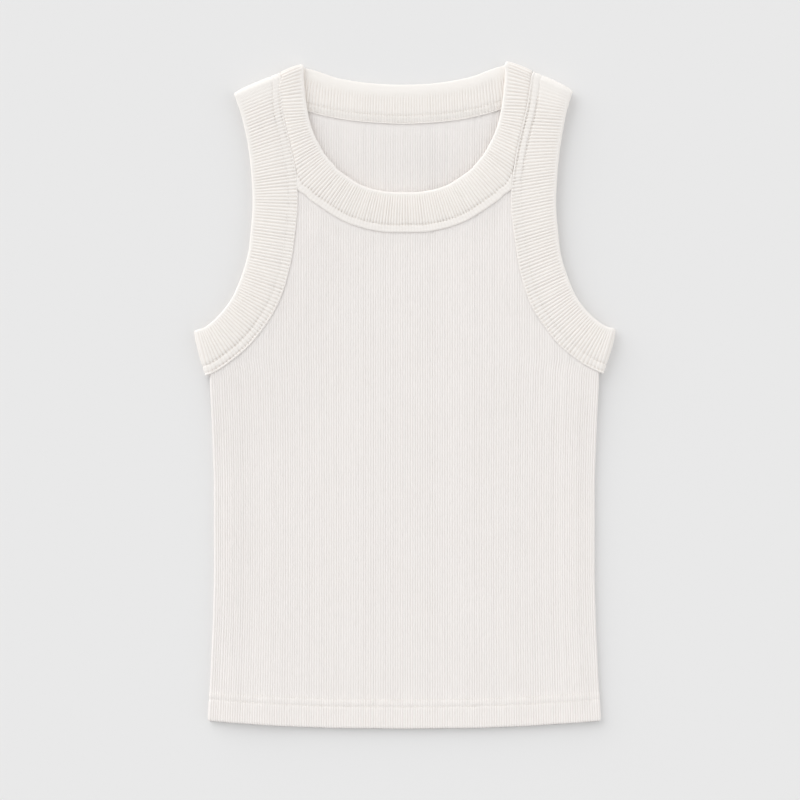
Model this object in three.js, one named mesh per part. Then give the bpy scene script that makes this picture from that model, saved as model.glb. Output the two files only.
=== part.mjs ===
// A ribbed tank top laid flat on its back, in millimetres: +X to the right as seen from above, +Y towards the neck,
// +Z up off the surface. The origin is under the middle of its outline, on the surface.
//
// Two panels lie on each other. A ring of folded rib knit binds the neck, and one binds each armhole. Every ring goes
// over the shoulder fold from the front to the back. The armhole rings were sewn on last and lap the neck ring.
import * as THREE from 'three';

// The cloth and how its layers lie
const WALL = 1.0; // a cloth wall
const GAP = 0.3; // between walls that lie on each other
const PLY = WALL + GAP;
const HEM_WALL = 1.6; // the turned-up hem, two plies pressed flat
const BINDING_DEPTH = 2 * PLY + WALL; // a binding's face, its slot with the panel in it, and its back face
const FOLD_RADIUS = BINDING_DEPTH / 2; // round a binding's folded edge
const PILE = 2 * BINDING_DEPTH + GAP; // the front binding lies on the back one
const BODY_PILE = 5.1; // the height that a binding's face would have over the open body

// Ribs, which run up the panels and across the bindings
const RIB_RISE = 0.3;
const BODY_RIBS = 158; // across the front, 1.6 mm apart
const NECK_RIBS = 128; // round the front of the neck, about 2 mm apart
const ARMHOLE_RIBS = 84; // down the front of each armhole
const STATIONS_A_MAJOR = 8; // rib lines from one plain section of a binding to the next
const PLAIN_COLUMNS = 28; // across a plain face of a panel
const FADE = 6; // ribs fade out this near a binding

// Widths
const NECK_BINDING_WIDTH = 26;
const SIDE_TOP = 125; // half the panels' width at the underarm, inside the side fold
const SIDE_EDGE_AT_TOP = 127.5;
const BACK_INSET = 1.2; // the back armhole's edge lies this far inside the front's

// How far each effect of the pile reaches from the bindings
const FRONT_PLATEAU = 6;
const FRONT_EASE = 40;
const BACK_PLATEAU = 13;
const BACK_EASE = 24;
const STRAP_LOW = 148; // the two sides of a strap lie apart above this
const STRAP_HIGH = 168;

// The shoulder fold, from the neck point to the shoulder's tip, and the fold at the underarm
const NECK_POINT = [65.5, 213.5];
const SHOULDER_TIP = [108.4, 194.4];
const UNDERARM_TIP = [134.1, 41.4];
const UNDERARM_END = [126.3, 15.0];
const ARMHOLE_BINDING_AT_SHOULDER = 31.4;
const LAP_END_AT_SHOULDER = 19.4; // the back face of the armhole binding stops where the neck binding begins
const NECK_LAP_AT_SHOULDER = 11.4; // the neck binding dips under the armhole binding from here
const ROLL_TURNS = [60, 30, 0, -30, -60]; // degrees, from the front round a fold to the back

// The side of the body, half widths, from the underarm to the hem's corner
const SIDE = table(['y', 'x'], [
  [23.8, SIDE_EDGE_AT_TOP], [15, 124.9], [7.2, 124.7], [-12.6, 123.8], [-37, 122.9], [-53.6, 122.3],
  [-79.2, 122.3], [-114.4, 122.2], [-143.2, 122.9], [-162.4, 123.8], [-181.6, 124.6], [-206, 125.9],
]);

// The hem's lower edge
const HEM_EDGE = table(['x', 'y'], [
  [0, -212.8], [46, -212.3], [80, -211], [95.4, -209.9], [109.4, -209], [124.2, -207.8],
]);

// The top edge of the front, inside the bindings: under the neck binding, past its crossing with the armhole binding,
// then under the armhole binding down to the side
const FRONT_TOP = table(['x', 'y'], [
  [0, 112.7], [16.3, 113.4], [35.1, 118.9], [53.5, 130.7], [57.5, 134.6], [59.1, 122.4], [64, 127.6],
  [67.4, 131.2], [76, 131.2], [76.9, 121], [77.9, 104], [80.4, 86], [85.3, 68.3], [91.6, 55.1],
  [101.3, 41.4], [113.8, 29.9], [125, 23.8],
]);

const BACK_TOP = table(['x', 'y'], [
  [0, 182.4], [19.5, 183.2], [38.6, 185.2], [54, 188.2], [63, 190.4], [64.6, 181.4], [75.4, 182.4],
  [76.6, 121], [77.9, 104], [80.4, 86], [85.3, 68.3], [91.6, 55.1], [101.3, 41.4], [113.8, 29.9],
  [125, 23.8],
]);

// Sections across the neck binding, from its folded edge to its sewn edge. lap is how far from the folded edge it dips
// under the armhole binding, and dip is how far down it goes there.
const NECK_COLUMNS = ['edgeX', 'edgeY', 'innerX', 'innerY', 'lap', 'dip'];
const NECK_FRONT = table(NECK_COLUMNS, [
  [64.2, 202.0, 89.0, 196.5, 10.6, PLY],
  [62.1, 183.8, 87.4, 178.7, 11, PLY],
  [58.6, 169.8, 83.0, 160.9, 11.4, PLY],
  [52.3, 157.0, 74.0, 142.6, 16, PLY],
  [47.8, 150.9, 67.2, 133.4, 20, PLY],
  [44.7, 147.5, 63.2, 129.0, 21, 0],
  [41.6, 144.2, 58.8, 124.7, 21, 0],
  [27.5, 135.2, 38.5, 111.6, 21, 0],
  [13.4, 131.3, 17.6, 105.6, 21, 0],
]);
const NECK_FRONT_MIDDLE = tableRow(NECK_COLUMNS, [0, 130.6, 0, 104.8, 21, 0]);
const NECK_BACK = table(NECK_COLUMNS, [
  [62.2, 208.7, 84.3, 194.2, 13, PLY],
  [59.5, 208.2, 76.4, 187.9, 18, PLY],
  [55.5, 207.2, 66.6, 183.8, 21, 0],
  [46.0, 204.6, 54.0, 180.3, 21, 0],
  [33.3, 202.0, 38.6, 177.2, 21, 0],
  [17.0, 199.9, 19.5, 175.2, 21, 0],
]);
const NECK_BACK_MIDDLE = tableRow(NECK_COLUMNS, [0, 199.2, 0, 174.4, 21, 0]);

// Sections across the armhole binding, from the shoulder to the underarm. backFace is how wide its hidden back face is
// on the front of the garment, and backFaceBehind is the same on its back.
const ARMHOLE_COLUMNS = ['edgeX', 'edgeY', 'innerX', 'innerY', 'backFace', 'backFaceBehind'];
const ARMHOLE = table(ARMHOLE_COLUMNS, [
  [103.6, 180.0, 77.9, 188.0, 14.2, 21.5],
  [101.2, 168.0, 75.6, 172.5, 15.0, 25.9],
  [99.0, 154.0, 71.3, 156.0, 17.8, 27.6],
  [97.5, 137.0, 68.3, 137.5, 25.6, 29.1],
  [97.0, 122.0, 68.2, 120.5, 28.7, 28.7],
  [98.2, 106.0, 70.0, 102.0, 28.4, 28.4],
  [100.2, 90.0, 72.6, 84.0, 28.1, 28.1],
  [105.6, 73.1, 77.5, 66.5, 28.7, 28.7],
  [111.0, 61.6, 84.0, 52.5, 28.3, 28.3],
  [119.0, 51.4, 94.3, 37.5, 28.2, 28.2],
  [126.5, 44.3, 108.5, 23.9, 27.0, 27.0],
]);
const ARMHOLE_INNER_EDGE = [[81, 215], [79.5, 206.7], ...ARMHOLE.map((row) => [row.innerX, row.innerY]),
  [122.7, 16.1], [140, 11]];
const NECK_LOWER_EDGE = NECK_FRONT.map((row) => [row.innerX, row.innerY]).concat([[0, 104.8]]);
const BACK_NECK_LOWER_EDGE = [[87.6, 199.2], ...NECK_BACK.map((row) => [row.innerX, row.innerY]), [0, 174.4]];

// Soft folds in the front as it lies: each one's middle, length and width, its lean from the vertical in degrees, and
// how far it rises or, below zero, sinks
const SOFT_FOLDS = table(['x', 'y', 'length', 'width', 'lean', 'rise'], [
  [-104, -75, 200, 13, 1, -0.6],
  [101, -120, 150, 12, -1, 0.5],
  [-62, 38, 90, 15, 32, -0.5],
  [70, 42, 80, 13, -28, -0.45],
  [-30, -60, 230, 26, 3, 0.4],
  [42, -20, 190, 22, -4, 0.35],
  [12, -120, 160, 24, 2, -0.3],
]);
const FOLD_FADE = 14; // they end this far from a binding or a side

// How far each row of points up a panel is from its hem to its top edge. The second row is the hem's sewn edge.
const ROWS = [0, 0.047, 0.2, 0.4, 0.6, 0.78, 0.9, 0.965, 1];
const HEM_ROWS = 2;
const CURL_STEPS = 4; // round the side fold

const CLOTH_COLOUR = 0xece8e2;
const CLOTH_ROUGHNESS = 0.95;

function tableRow(columns, values) {
  return Object.fromEntries(columns.map((name, i) => [name, values[i]]));
}

function table(columns, rows) {
  return rows.map((values) => tableRow(columns, values));
}

function mix(a, b, t) {
  return a + (b - a) * t;
}

function smooth(t) {
  const c = THREE.MathUtils.clamp(t, 0, 1);
  return c * c * (3 - 2 * c);
}

// A table's value at a place along its first column, on straight lines between its rows.
function lookUp(rows, from, to, at) {
  const rising = rows[rows.length - 1][from] > rows[0][from];
  const list = rising ? rows : [...rows].reverse();
  const next = list.findIndex((row) => row[from] >= at);
  if (next === 0) return list[0][to];
  if (next < 0) return list[list.length - 1][to];
  const [a, b] = [list[next - 1], list[next]];
  return mix(a[to], b[to], (at - a[from]) / (b[from] - a[from]));
}

// A row between two rows of a table, on a smooth curve through its neighbours.
function rowBetween(rows, place) {
  const i = Math.min(Math.floor(place), rows.length - 2);
  const [before, a, b, after] = [rows[Math.max(i - 1, 0)], rows[i], rows[i + 1], rows[Math.min(i + 2, rows.length - 1)]];
  const t = place - i;
  const blend = (p, q, r, s) => 0.5 * (2 * q + (r - p) * t + (2 * p - 5 * q + 4 * r - s) * t * t
    + (3 * q - p - 3 * r + s) * t * t * t);
  return Object.fromEntries(Object.keys(a).map((name) => [name, blend(before[name], a[name], b[name], after[name])]));
}

function distanceToLine(line, x, y) {
  let best = Infinity;
  for (let i = 1; i < line.length; i += 1) {
    const [ax, ay] = line[i - 1];
    const [dx, dy] = [line[i][0] - ax, line[i][1] - ay];
    const t = THREE.MathUtils.clamp(((x - ax) * dx + (y - ay) * dy) / (dx * dx + dy * dy), 0, 1);
    best = Math.min(best, Math.hypot(x - ax - t * dx, y - ay - t * dy));
  }
  return best;
}

// How far a place is from the armhole binding towards the middle of the body, and 0 under the binding itself.
function clearOfArmhole(x, y) {
  const across = Math.abs(x);
  const edges = ARMHOLE_INNER_EDGE.map(([ex, ey]) => ({ x: ex, y: ey }));
  if (y > 11 && across >= lookUp(edges, 'y', 'x', y)) return 0;
  return distanceToLine(ARMHOLE_INNER_EDGE, across, y);
}

function clearOfNeck(lowerEdge, x, y) {
  const across = Math.abs(x);
  const edges = lowerEdge.map(([ex, ey]) => ({ x: ex, y: ey }));
  if (y >= lookUp(edges, 'x', 'y', across)) return 0;
  return distanceToLine(lowerEdge, across, y);
}

// The height of a binding's face on the front. Over a strap and an armhole two bindings lie on each other.
function faceHeight(x, y) {
  const nearArmhole = 1 - smooth((clearOfArmhole(x, y) - FRONT_PLATEAU) / FRONT_EASE);
  const onStrap = smooth((y - STRAP_LOW) / (STRAP_HIGH - STRAP_LOW));
  return mix(BODY_PILE, PILE, Math.max(nearArmhole, onStrap));
}

// The height of the back panel's outer face, which lies on the surface but is lifted by the bindings' faces.
function backHeight(x, y) {
  const nearest = Math.min(clearOfArmhole(x, y), clearOfNeck(BACK_NECK_LOWER_EDGE, x, y));
  return PLY * (1 - smooth((nearest - BACK_PLATEAU) / BACK_EASE));
}

// The front's own soft folds, which end short of the bindings and the sides.
function foldRise(x, y, edge) {
  const clear = Math.min(clearOfArmhole(x, y), clearOfNeck(NECK_LOWER_EDGE, x, y), Math.max(edge - Math.abs(x), 0));
  const total = SOFT_FOLDS.reduce((sum, fold) => {
    const lean = THREE.MathUtils.degToRad(fold.lean);
    const [dx, dy] = [x - fold.x, y - fold.y];
    const across = dx * Math.cos(lean) - dy * Math.sin(lean);
    const lengthwise = dx * Math.sin(lean) + dy * Math.cos(lean);
    return sum + fold.rise * Math.exp(-((across / fold.width) ** 2) - (2 * lengthwise / fold.length) ** 2);
  }, 0);
  return total * smooth(clear / FOLD_FADE);
}

// Collects a closed skin of triangles from lines of points.
class Skin {
  constructor() {
    this.points = [];
    this.faces = [];
  }

  line(places, pointAt) {
    return places.map((place) => ({ place, id: this.points.push(pointAt(place)) - 1 }));
  }

  // Joins two lines whose points need not match, each with its own spacing.
  join(a, b) {
    let [i, j] = [0, 0];
    while (i < a.length - 1 || j < b.length - 1) {
      const stepA = j === b.length - 1 || (i < a.length - 1 && a[i + 1].place <= b[j + 1].place);
      this.faces.push(stepA ? [a[i].id, a[i + 1].id, b[j].id] : [a[i].id, b[j + 1].id, b[j].id]);
      if (stepA) i += 1;
      else j += 1;
    }
  }

  geometry() {
    const corner = (id) => this.points[id];
    const volume = this.faces.reduce((sum, [a, b, c]) => sum
      + corner(a).dot(new THREE.Vector3().crossVectors(corner(b), corner(c))), 0);
    const faces = volume > 0 ? this.faces : this.faces.map(([a, b, c]) => [a, c, b]);
    const geometry = new THREE.BufferGeometry().setFromPoints(this.points);
    geometry.setIndex(faces.flat());
    geometry.computeVertexNormals();
    return geometry;
  }
}

// A section's plan line, its turn round a fold in degrees (90 on the front, -90 on the back), and the direction out of
// the fold. A row on a fold gives the fold's own line, and its axis lies half the pile inside it.
function section(row, turn, out = [0, 0]) {
  return { ...row, turn, out };
}

function foldRow(edge, inner, out, extra) {
  const [dx, dy] = [out[0] * PILE / 2, out[1] * PILE / 2];
  return { edgeX: edge[0] - dx, edgeY: edge[1] - dy, innerX: inner[0] - dx, innerY: inner[1] - dy, ...extra };
}

function unit(from, to) {
  const length = Math.hypot(to[0] - from[0], to[1] - from[1]);
  return [(to[0] - from[0]) / length, (to[1] - from[1]) / length];
}

function along(from, direction, distance) {
  return [from[0] + direction[0] * distance, from[1] + direction[1] * distance];
}

function widthOf(row) {
  return Math.hypot(row.innerX - row.edgeX, row.innerY - row.edgeY);
}

// A point of a binding, from the distance to its folded edge and the depth below its face.
function bindingPoint(row, distance, depth) {
  const t = distance / widthOf(row);
  const [x, y] = [mix(row.edgeX, row.innerX, t), mix(row.edgeY, row.innerY, t)];
  const radius = faceHeight(x, y) / 2;
  const turn = THREE.MathUtils.degToRad(row.turn);
  const reach = (radius - depth) * Math.cos(turn);
  return new THREE.Vector3(x + row.out[0] * reach, y + row.out[1] * reach, radius + (radius - depth) * Math.sin(turn));
}

// Sections at even steps along the middle of a binding.
function evenSections(rows, count, turn) {
  const fine = Array.from({ length: (rows.length - 1) * 12 + 1 }, (_, i) => rowBetween(rows, i / 12));
  const middle = fine.map((row) => [(row.edgeX + row.innerX) / 2, (row.edgeY + row.innerY) / 2]);
  const run = [{ length: 0, place: 0 }];
  for (let i = 1; i < middle.length; i += 1) {
    const step = Math.hypot(middle[i][0] - middle[i - 1][0], middle[i][1] - middle[i - 1][1]);
    run.push({ length: run[i - 1].length + step, place: i / 12 });
  }
  const total = run[run.length - 1].length;
  return Array.from({ length: count + 1 }, (_, i) => {
    const place = lookUp(run, 'length', 'place', total * i / count);
    return section(rowBetween(rows, place), turn);
  });
}

// A binding is a folded wall swept round a closed ring of sections. Its face on the front has a line at every rib, and
// the rest has the plain sections alone.
function bindingGeometry(front, others, shapeOf) {
  const sections = [...front.map((row, i) => ({
    ...row,
    rib: i > 0 && i < front.length - 1 && i % 2 === 1 ? RIB_RISE : 0,
    major: i % STATIONS_A_MAJOR === 0 || i === front.length - 1,
  })), ...others.map((row) => ({ ...row, rib: 0, major: true }))];
  const all = sections.map((_, i) => i);
  const majors = all.filter((i) => sections[i].major);
  const skin = new Skin();
  const ring = (places, pointAt) => {
    const line = skin.line(places, (place) => pointAt(sections[place]));
    return [...line, { place: sections.length, id: line[0].id }];
  };
  const lines = shapeOf.map(({ ribbed, at }) => ring(ribbed ? all : majors, (row) => {
    const [distance, depth] = at(row);
    return bindingPoint(row, distance, depth);
  }));
  lines.forEach((line, i) => skin.join(line, lines[(i + 1) % lines.length]));
  return skin.geometry();
}

// The lines along a binding, in order round its section: the face, the folded edge, the back face, and the slot.
function bindingShape(faceLines, backFaceOf, dipAt) {
  const middle = FOLD_RADIUS;
  const slot = FOLD_RADIUS - WALL;
  const arc = (radius, degrees) => {
    const angle = THREE.MathUtils.degToRad(degrees);
    return [middle - radius * Math.sin(angle), middle - radius * Math.cos(angle)];
  };
  return [
    ...faceLines,
    ...[45, 90, 135, 180].map((degrees) => ({ ribbed: false, at: () => arc(FOLD_RADIUS, degrees) })),
    { ribbed: false, at: (row) => [backFaceOf(row), BINDING_DEPTH] },
    { ribbed: false, at: (row) => [backFaceOf(row), BINDING_DEPTH - WALL] },
    ...[180, 90, 0].map((degrees) => ({ ribbed: false, at: () => arc(slot, degrees) })),
    ...dipAt,
  ];
}

function neckBinding() {
  const shoulder = unit(NECK_POINT, SHOULDER_TIP);
  const out = [-shoulder[1], shoulder[0]];
  const fold = foldRow(NECK_POINT, along(NECK_POINT, shoulder, NECK_BINDING_WIDTH), out,
    { lap: NECK_LAP_AT_SHOULDER, dip: PLY });
  const mirror = (row) => ({ ...row, edgeX: -row.edgeX, innerX: -row.innerX });
  const half = [fold, ...NECK_FRONT];
  const frontRows = [...half, NECK_FRONT_MIDDLE, ...[...half].reverse().map(mirror)];
  const halfBack = [fold, ...NECK_BACK];
  const backRows = [...halfBack.map(mirror), NECK_BACK_MIDDLE, ...[...halfBack].reverse()];
  const rollAt = (row, side) => ROLL_TURNS.map((turn) => section(row, turn, [out[0] * side, out[1]]));
  const others = [
    ...rollAt(mirror(fold), -1),
    ...backRows.map((row) => section(row, -90)),
    ...rollAt(fold, 1).reverse(),
  ];
  const dipFrom = (row) => Math.min(row.lap, widthOf(row) - 4);
  const dipTo = (row) => dipFrom(row) + 3;
  const ribAt = (row) => (row.dip > 0.01 ? 0 : row.rib);
  const face = [
    { ribbed: true, at: (row) => [widthOf(row), row.dip] },
    { ribbed: true, at: (row) => [dipTo(row), row.dip - ribAt(row)] },
    { ribbed: true, at: (row) => [dipFrom(row), -row.rib] },
    { ribbed: true, at: (row) => [dipFrom(row) / 2 + 1, -row.rib] },
    { ribbed: true, at: () => [FOLD_RADIUS, 0] },
  ];
  const slotRoof = [
    { ribbed: false, at: (row) => [dipFrom(row), WALL] },
    { ribbed: false, at: (row) => [dipTo(row), WALL + row.dip] },
    { ribbed: false, at: (row) => [widthOf(row), WALL + row.dip] },
  ];
  const front = evenSections(frontRows, 2 * NECK_RIBS, 90);
  return bindingGeometry(front, others, bindingShape(face, (row) => widthOf(row), slotRoof));
}

function armholeBinding(side) {
  const shoulder = unit(SHOULDER_TIP, NECK_POINT);
  const shoulderOut = [shoulder[1], -shoulder[0]];
  const shoulderFold = foldRow(SHOULDER_TIP, along(SHOULDER_TIP, shoulder, ARMHOLE_BINDING_AT_SHOULDER),
    shoulderOut, { backFace: LAP_END_AT_SHOULDER, backFaceBehind: LAP_END_AT_SHOULDER });
  const sideDown = unit(UNDERARM_TIP, UNDERARM_END);
  const sideOut = [-sideDown[1], sideDown[0]];
  const width = Math.hypot(UNDERARM_END[0] - UNDERARM_TIP[0], UNDERARM_END[1] - UNDERARM_TIP[1]);
  const sideFold = foldRow(UNDERARM_TIP, UNDERARM_END, sideOut, { backFace: width, backFaceBehind: width });
  const place = (row) => ({ ...row, edgeX: side * row.edgeX, innerX: side * row.innerX });
  const inset = (row) => ({ ...row, edgeX: row.edgeX - BACK_INSET, backFace: row.backFaceBehind - BACK_INSET });
  const frontRows = [shoulderFold, ...ARMHOLE, sideFold].map(place);
  const backRows = [sideFold, ...[...ARMHOLE].reverse().map(inset), shoulderFold].map(place);
  const outward = ([x, y]) => [side * x, y];
  const others = [
    ...ROLL_TURNS.map((turn) => section(place(sideFold), turn, outward(sideOut))),
    ...backRows.map((row) => section(row, -90)),
    ...ROLL_TURNS.map((turn) => section(place(shoulderFold), -turn, outward(shoulderOut))),
  ];
  const face = [
    { ribbed: true, at: (row) => [widthOf(row), 0] },
    { ribbed: true, at: (row) => [widthOf(row) - FADE / 2, -row.rib] },
    { ribbed: true, at: (row) => [widthOf(row) / 2, -row.rib] },
    { ribbed: true, at: () => [2 * FOLD_RADIUS, 0] },
    { ribbed: false, at: () => [FOLD_RADIUS, 0] },
  ];
  const slotRoof = [{ ribbed: false, at: (row) => [widthOf(row), WALL] }];
  const backFaceOf = (row) => Math.min(row.backFace, widthOf(row));
  const front = evenSections(frontRows, 2 * ARMHOLE_RIBS, 90);
  return bindingGeometry(front, others, bindingShape(face, backFaceOf, slotRoof));
}

// A panel is a grid of columns that run from the hem to the top edge. The last columns go round the side fold. The
// place of a column is -1 to 1 across the flat part, and a further 1 round each fold.
function panelGeometry({ top, ribs, onFront }) {
  const flatEdge = (y) => {
    const edge = lookUp(SIDE, 'y', 'x', y);
    const [high, low] = [faceHeight(edge, y) - PLY, backHeight(edge, y)];
    return { edge: edge - (high - low) / 2, radius: (high - low) / 2, middle: (high + low) / 2 };
  };
  const reference = SIDE_TOP;
  const pointAt = (column, v, inside) => {
    const across = THREE.MathUtils.clamp(column, -1, 1);
    const curl = Math.abs(column) - Math.abs(across);
    const topX = Math.abs(across) * reference;
    const y = mix(lookUp(HEM_EDGE, 'x', 'y', topX), lookUp(top, 'x', 'y', topX), v);
    const { edge, radius, middle } = flatEdge(y);
    const x = Math.sign(across) * (topX + (edge - reference) * Math.abs(across) ** 3);
    const wall = inside ? (v < ROWS[HEM_ROWS] ? HEM_WALL : WALL) : 0;
    const up = onFront ? 1 : -1;
    if (curl > 0) {
      const seam = GAP / 2 / radius;
      const turn = mix(Math.PI / 2, seam, curl);
      const r = radius - Math.min(wall, WALL);
      return new THREE.Vector3(Math.sign(across) * (edge + r * Math.cos(turn)), y, middle + up * r * Math.sin(turn));
    }
    const outer = onFront ? faceHeight(x, y) - PLY + foldRise(x, y, edge) : backHeight(x, y);
    const clear = Math.min(clearOfArmhole(x, y), clearOfNeck(NECK_LOWER_EDGE, x, y));
    const ribHere = inside || v === 1 ? 0 : ribs(column) * smooth(clear / FADE);
    return new THREE.Vector3(x, y, outer - up * wall + up * ribHere);
  };
  const curls = Array.from({ length: CURL_STEPS }, (_, i) => 1 + (i + 1) / CURL_STEPS);
  const columns = (count) => [
    ...curls.map((c) => -c).reverse(),
    ...Array.from({ length: count + 1 }, (_, i) => -1 + 2 * i / count),
    ...curls,
  ];
  const skin = new Skin();
  const lineOf = (column, inside) => ({
    column,
    line: skin.line(ROWS, (v) => pointAt(column, v, inside)),
  });
  const outer = columns(ribs.columns).map((column) => lineOf(column, false));
  const inner = columns(PLAIN_COLUMNS).map((column) => lineOf(column, true));
  const loop = [...outer, ...[...inner].reverse()];
  loop.forEach(({ line }, i) => skin.join(line, loop[(i + 1) % loop.length].line));
  const ends = (list, row) => list.map(({ column, line }) => ({ place: column, id: line[row].id }));
  const last = ROWS.length - 1;
  skin.join(ends(outer, 0), ends(inner, 0));
  skin.join(ends(inner, last), ends(outer, last));
  return skin.geometry();
}

// Every second column of the front is the top of a rib.
function ribbedFront() {
  const count = 2 * BODY_RIBS;
  const rise = (column) => {
    const i = Math.round((column + 1) * count / 2);
    return Math.abs(column) < 1 && i % 2 === 1 ? RIB_RISE : 0;
  };
  return Object.assign(rise, { columns: count });
}

function plainBack() {
  return Object.assign(() => 0, { columns: PLAIN_COLUMNS });
}

function cloth(name, geometry) {
  const material = new THREE.MeshStandardMaterial({ color: CLOTH_COLOUR, roughness: CLOTH_ROUGHNESS, metalness: 0 });
  material.name = `${name}_cloth`;
  const mesh = new THREE.Mesh(geometry, material);
  mesh.name = name;
  return mesh;
}

const tankTop = new THREE.Group();
tankTop.add(
  cloth('back_panel', panelGeometry({ top: BACK_TOP, ribs: plainBack(), onFront: false })),
  cloth('front_panel', panelGeometry({ top: FRONT_TOP, ribs: ribbedFront(), onFront: true })),
  cloth('neck_binding', neckBinding()),
  cloth('armhole_binding_left', armholeBinding(-1)),
  cloth('armhole_binding_right', armholeBinding(1)),
);

export default tankTop;
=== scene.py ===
# %% [markdown]
# # A ribbed tank top, laid flat
# This notebook dresses a plain model of a child's tank top. The real one has two panels of fine rib
# knit, a folded binding round the neck and one round each armhole. It lies on its back on a pale
# surface. The plain model is a fixed frame: it gives each piece its place, and every piece made here
# stays on it.

# %% Start from the fixed frame
import math

import bpy
import numpy as np
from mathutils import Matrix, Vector


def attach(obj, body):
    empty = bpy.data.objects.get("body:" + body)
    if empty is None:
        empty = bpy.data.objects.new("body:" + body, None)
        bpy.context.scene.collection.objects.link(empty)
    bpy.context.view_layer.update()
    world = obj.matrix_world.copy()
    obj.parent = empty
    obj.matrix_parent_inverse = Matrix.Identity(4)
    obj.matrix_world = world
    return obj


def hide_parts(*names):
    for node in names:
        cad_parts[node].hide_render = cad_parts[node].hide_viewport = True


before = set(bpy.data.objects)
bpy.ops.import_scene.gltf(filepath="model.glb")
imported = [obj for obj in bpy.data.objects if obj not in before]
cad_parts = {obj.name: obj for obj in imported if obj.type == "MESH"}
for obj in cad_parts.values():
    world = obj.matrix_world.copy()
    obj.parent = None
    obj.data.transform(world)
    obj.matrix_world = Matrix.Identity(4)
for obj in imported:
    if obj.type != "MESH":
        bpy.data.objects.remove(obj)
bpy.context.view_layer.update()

# %% [markdown]
# ## Sizes
# A pattern maker writes sizes in millimetres, and Blender works in metres, so one number turns the
# first into the second when a mesh is made. The layers of cloth are what give this flat thing its form.
# A binding is folded over the edge of a panel, so it is a face, a slot with the panel in it, and a back
# face.

# %% Sizes of the cloth, in millimetres
MM = 0.001
WALL = 1.0
GAP = 0.3
PLY = WALL + GAP
BINDING_DEPTH = 2 * PLY + WALL
FOLD_RADIUS = BINDING_DEPTH / 2
PILE = 2 * BINDING_DEPTH + GAP
BODY_PILE = 5.7
NECK_WIDTH = 26.0
LEFT_WIDTH_AT_SHOULDER, RIGHT_WIDTH_AT_SHOULDER = 31.4, 28.4
LAP_END_AT_SHOULDER = 19.4
NECK_LAP_AT_SHOULDER = 17.8
LEFT_LAP_LESS = 0.1
LEFT_LAP_LESS_AT_SHOULDER = 3.0
BACK_INSET = 1.2
SIDE_TOP = 125.0
SIDE_EDGE_AT_TOP = 127.5
print(f"two bindings on each other are {PILE:.1f} mm high")

# %% [markdown]
# The outlines are short tables, one row for each place where a tape measure would be read. A smooth
# curve goes through the rows, so few are needed. The outline is alike on both sides, so the tables give
# the right half only. The two armhole bindings lie a little differently, so the right one's sewn edge
# has columns of its own.

# %% Outlines of the garment
NECK_POINT = np.array([65.5, 213.5])
SHOULDER_TIP = np.array([108.4, 194.4])
UNDERARM_TIP = np.array([135.4, 41.8])
UNDERARM_END = np.array([127.6, 14.2])


def table(names, rows):
    """Named columns of numbers."""
    columns = np.array(rows, float).T
    return dict(zip(names.split(), columns))


SIDE = table("y x", [
    (-206, 125.9), (-181.6, 124.6), (-162.4, 123.8), (-143.2, 122.9), (-114.4, 122.2), (-79.2, 122.3),
    (-53.6, 122.3), (-37, 122.9), (-12.6, 123.8), (7.2, 124.7), (15, 124.9), (23.8, SIDE_EDGE_AT_TOP)])
HEM_EDGE = table("x y", [
    (0, -212.8), (46, -212.3), (80, -211), (95.4, -209.9), (109.4, -209), (124.2, -207.8)])
FRONT_TOP = table("x y", [
    (0, 112.7), (16.3, 113.4), (35.1, 118.9), (53.5, 130.7), (59.5, 135.4), (66, 138.6), (72, 138.2),
    (76, 131.2), (76.9, 121), (77.9, 104), (80.4, 86), (85.3, 68.3), (91.6, 55.1), (101.3, 41.4),
    (113.8, 29.9), (125, 23.8)])
BACK_TOP = table("x y", [
    (0, 182.4), (19.5, 183.2), (38.6, 185.2), (54, 188.2), (63, 190.4), (64.6, 181.4), (75.4, 182.4),
    (76.6, 121), (77.9, 104), (80.4, 86), (85.3, 68.3), (91.6, 55.1), (101.3, 41.4), (113.8, 29.9),
    (125, 23.8)])
print(f"the garment is {2 * SIDE['x'][0]:.0f} mm across the hem")

# %% [markdown]
# Each row of a binding's table is a cut straight across it: its folded edge, its sewn edge, and how it
# meets the other binding at the strap. The armhole binding was sewn on last, so the neck binding dips
# under it there. An armhole's row also gives how wide its back face is, on the front and behind, how
# far its ribs fade and how strongly its seam is drawn in.

# %% Cuts across the bindings
NECK_NAMES = "edge_x edge_y inner_x inner_y lap dip"
NECK_FRONT = table(NECK_NAMES, [
    (64.2, 202.0, 88.9, 195.0, 16.2, PLY), (62.1, 183.8, 87.8, 182.4, 15.0, PLY),
    (58.6, 169.8, 83.0, 160.9, 15.4, PLY), (52.3, 157.0, 74.0, 142.6, 20.0, PLY),
    (48.2, 151.4, 68.6, 132.4, 26.5, 0.3), (44.7, 147.5, 63.2, 128.4, 26, 0),
    (41.6, 144.2, 58.8, 124.4, 24, 0), (27.5, 135.2, 38.5, 111.6, 21, 0),
    (13.4, 131.3, 17.6, 105.6, 21, 0), (0, 130.6, 0, 104.8, 21, 0)])
NECK_BACK = table(NECK_NAMES, [
    (65.0, 211.6, 84.3, 194.2, 13, PLY), (64.0, 210.7, 76.4, 187.9, 18, PLY),
    (62.6, 210.1, 69.5, 184.9, 21, 0), (59.0, 209.3, 62.5, 182.6, 21, 0), (52.0, 207.0, 54.4, 180.4, 21, 0),
    (44.0, 204.3, 45.6, 178.5, 21, 0), (33.3, 202.2, 34.4, 176.6, 21, 0), (17.0, 200.3, 17.6, 175.1, 21, 0),
    (0, 199.7, 0, 174.4, 21, 0)])
ARMHOLE_NAMES = ("edge_x edge_y inner_x inner_y right_x right_y back_face back_face_behind "
                 "plain seam right_seam")
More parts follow.
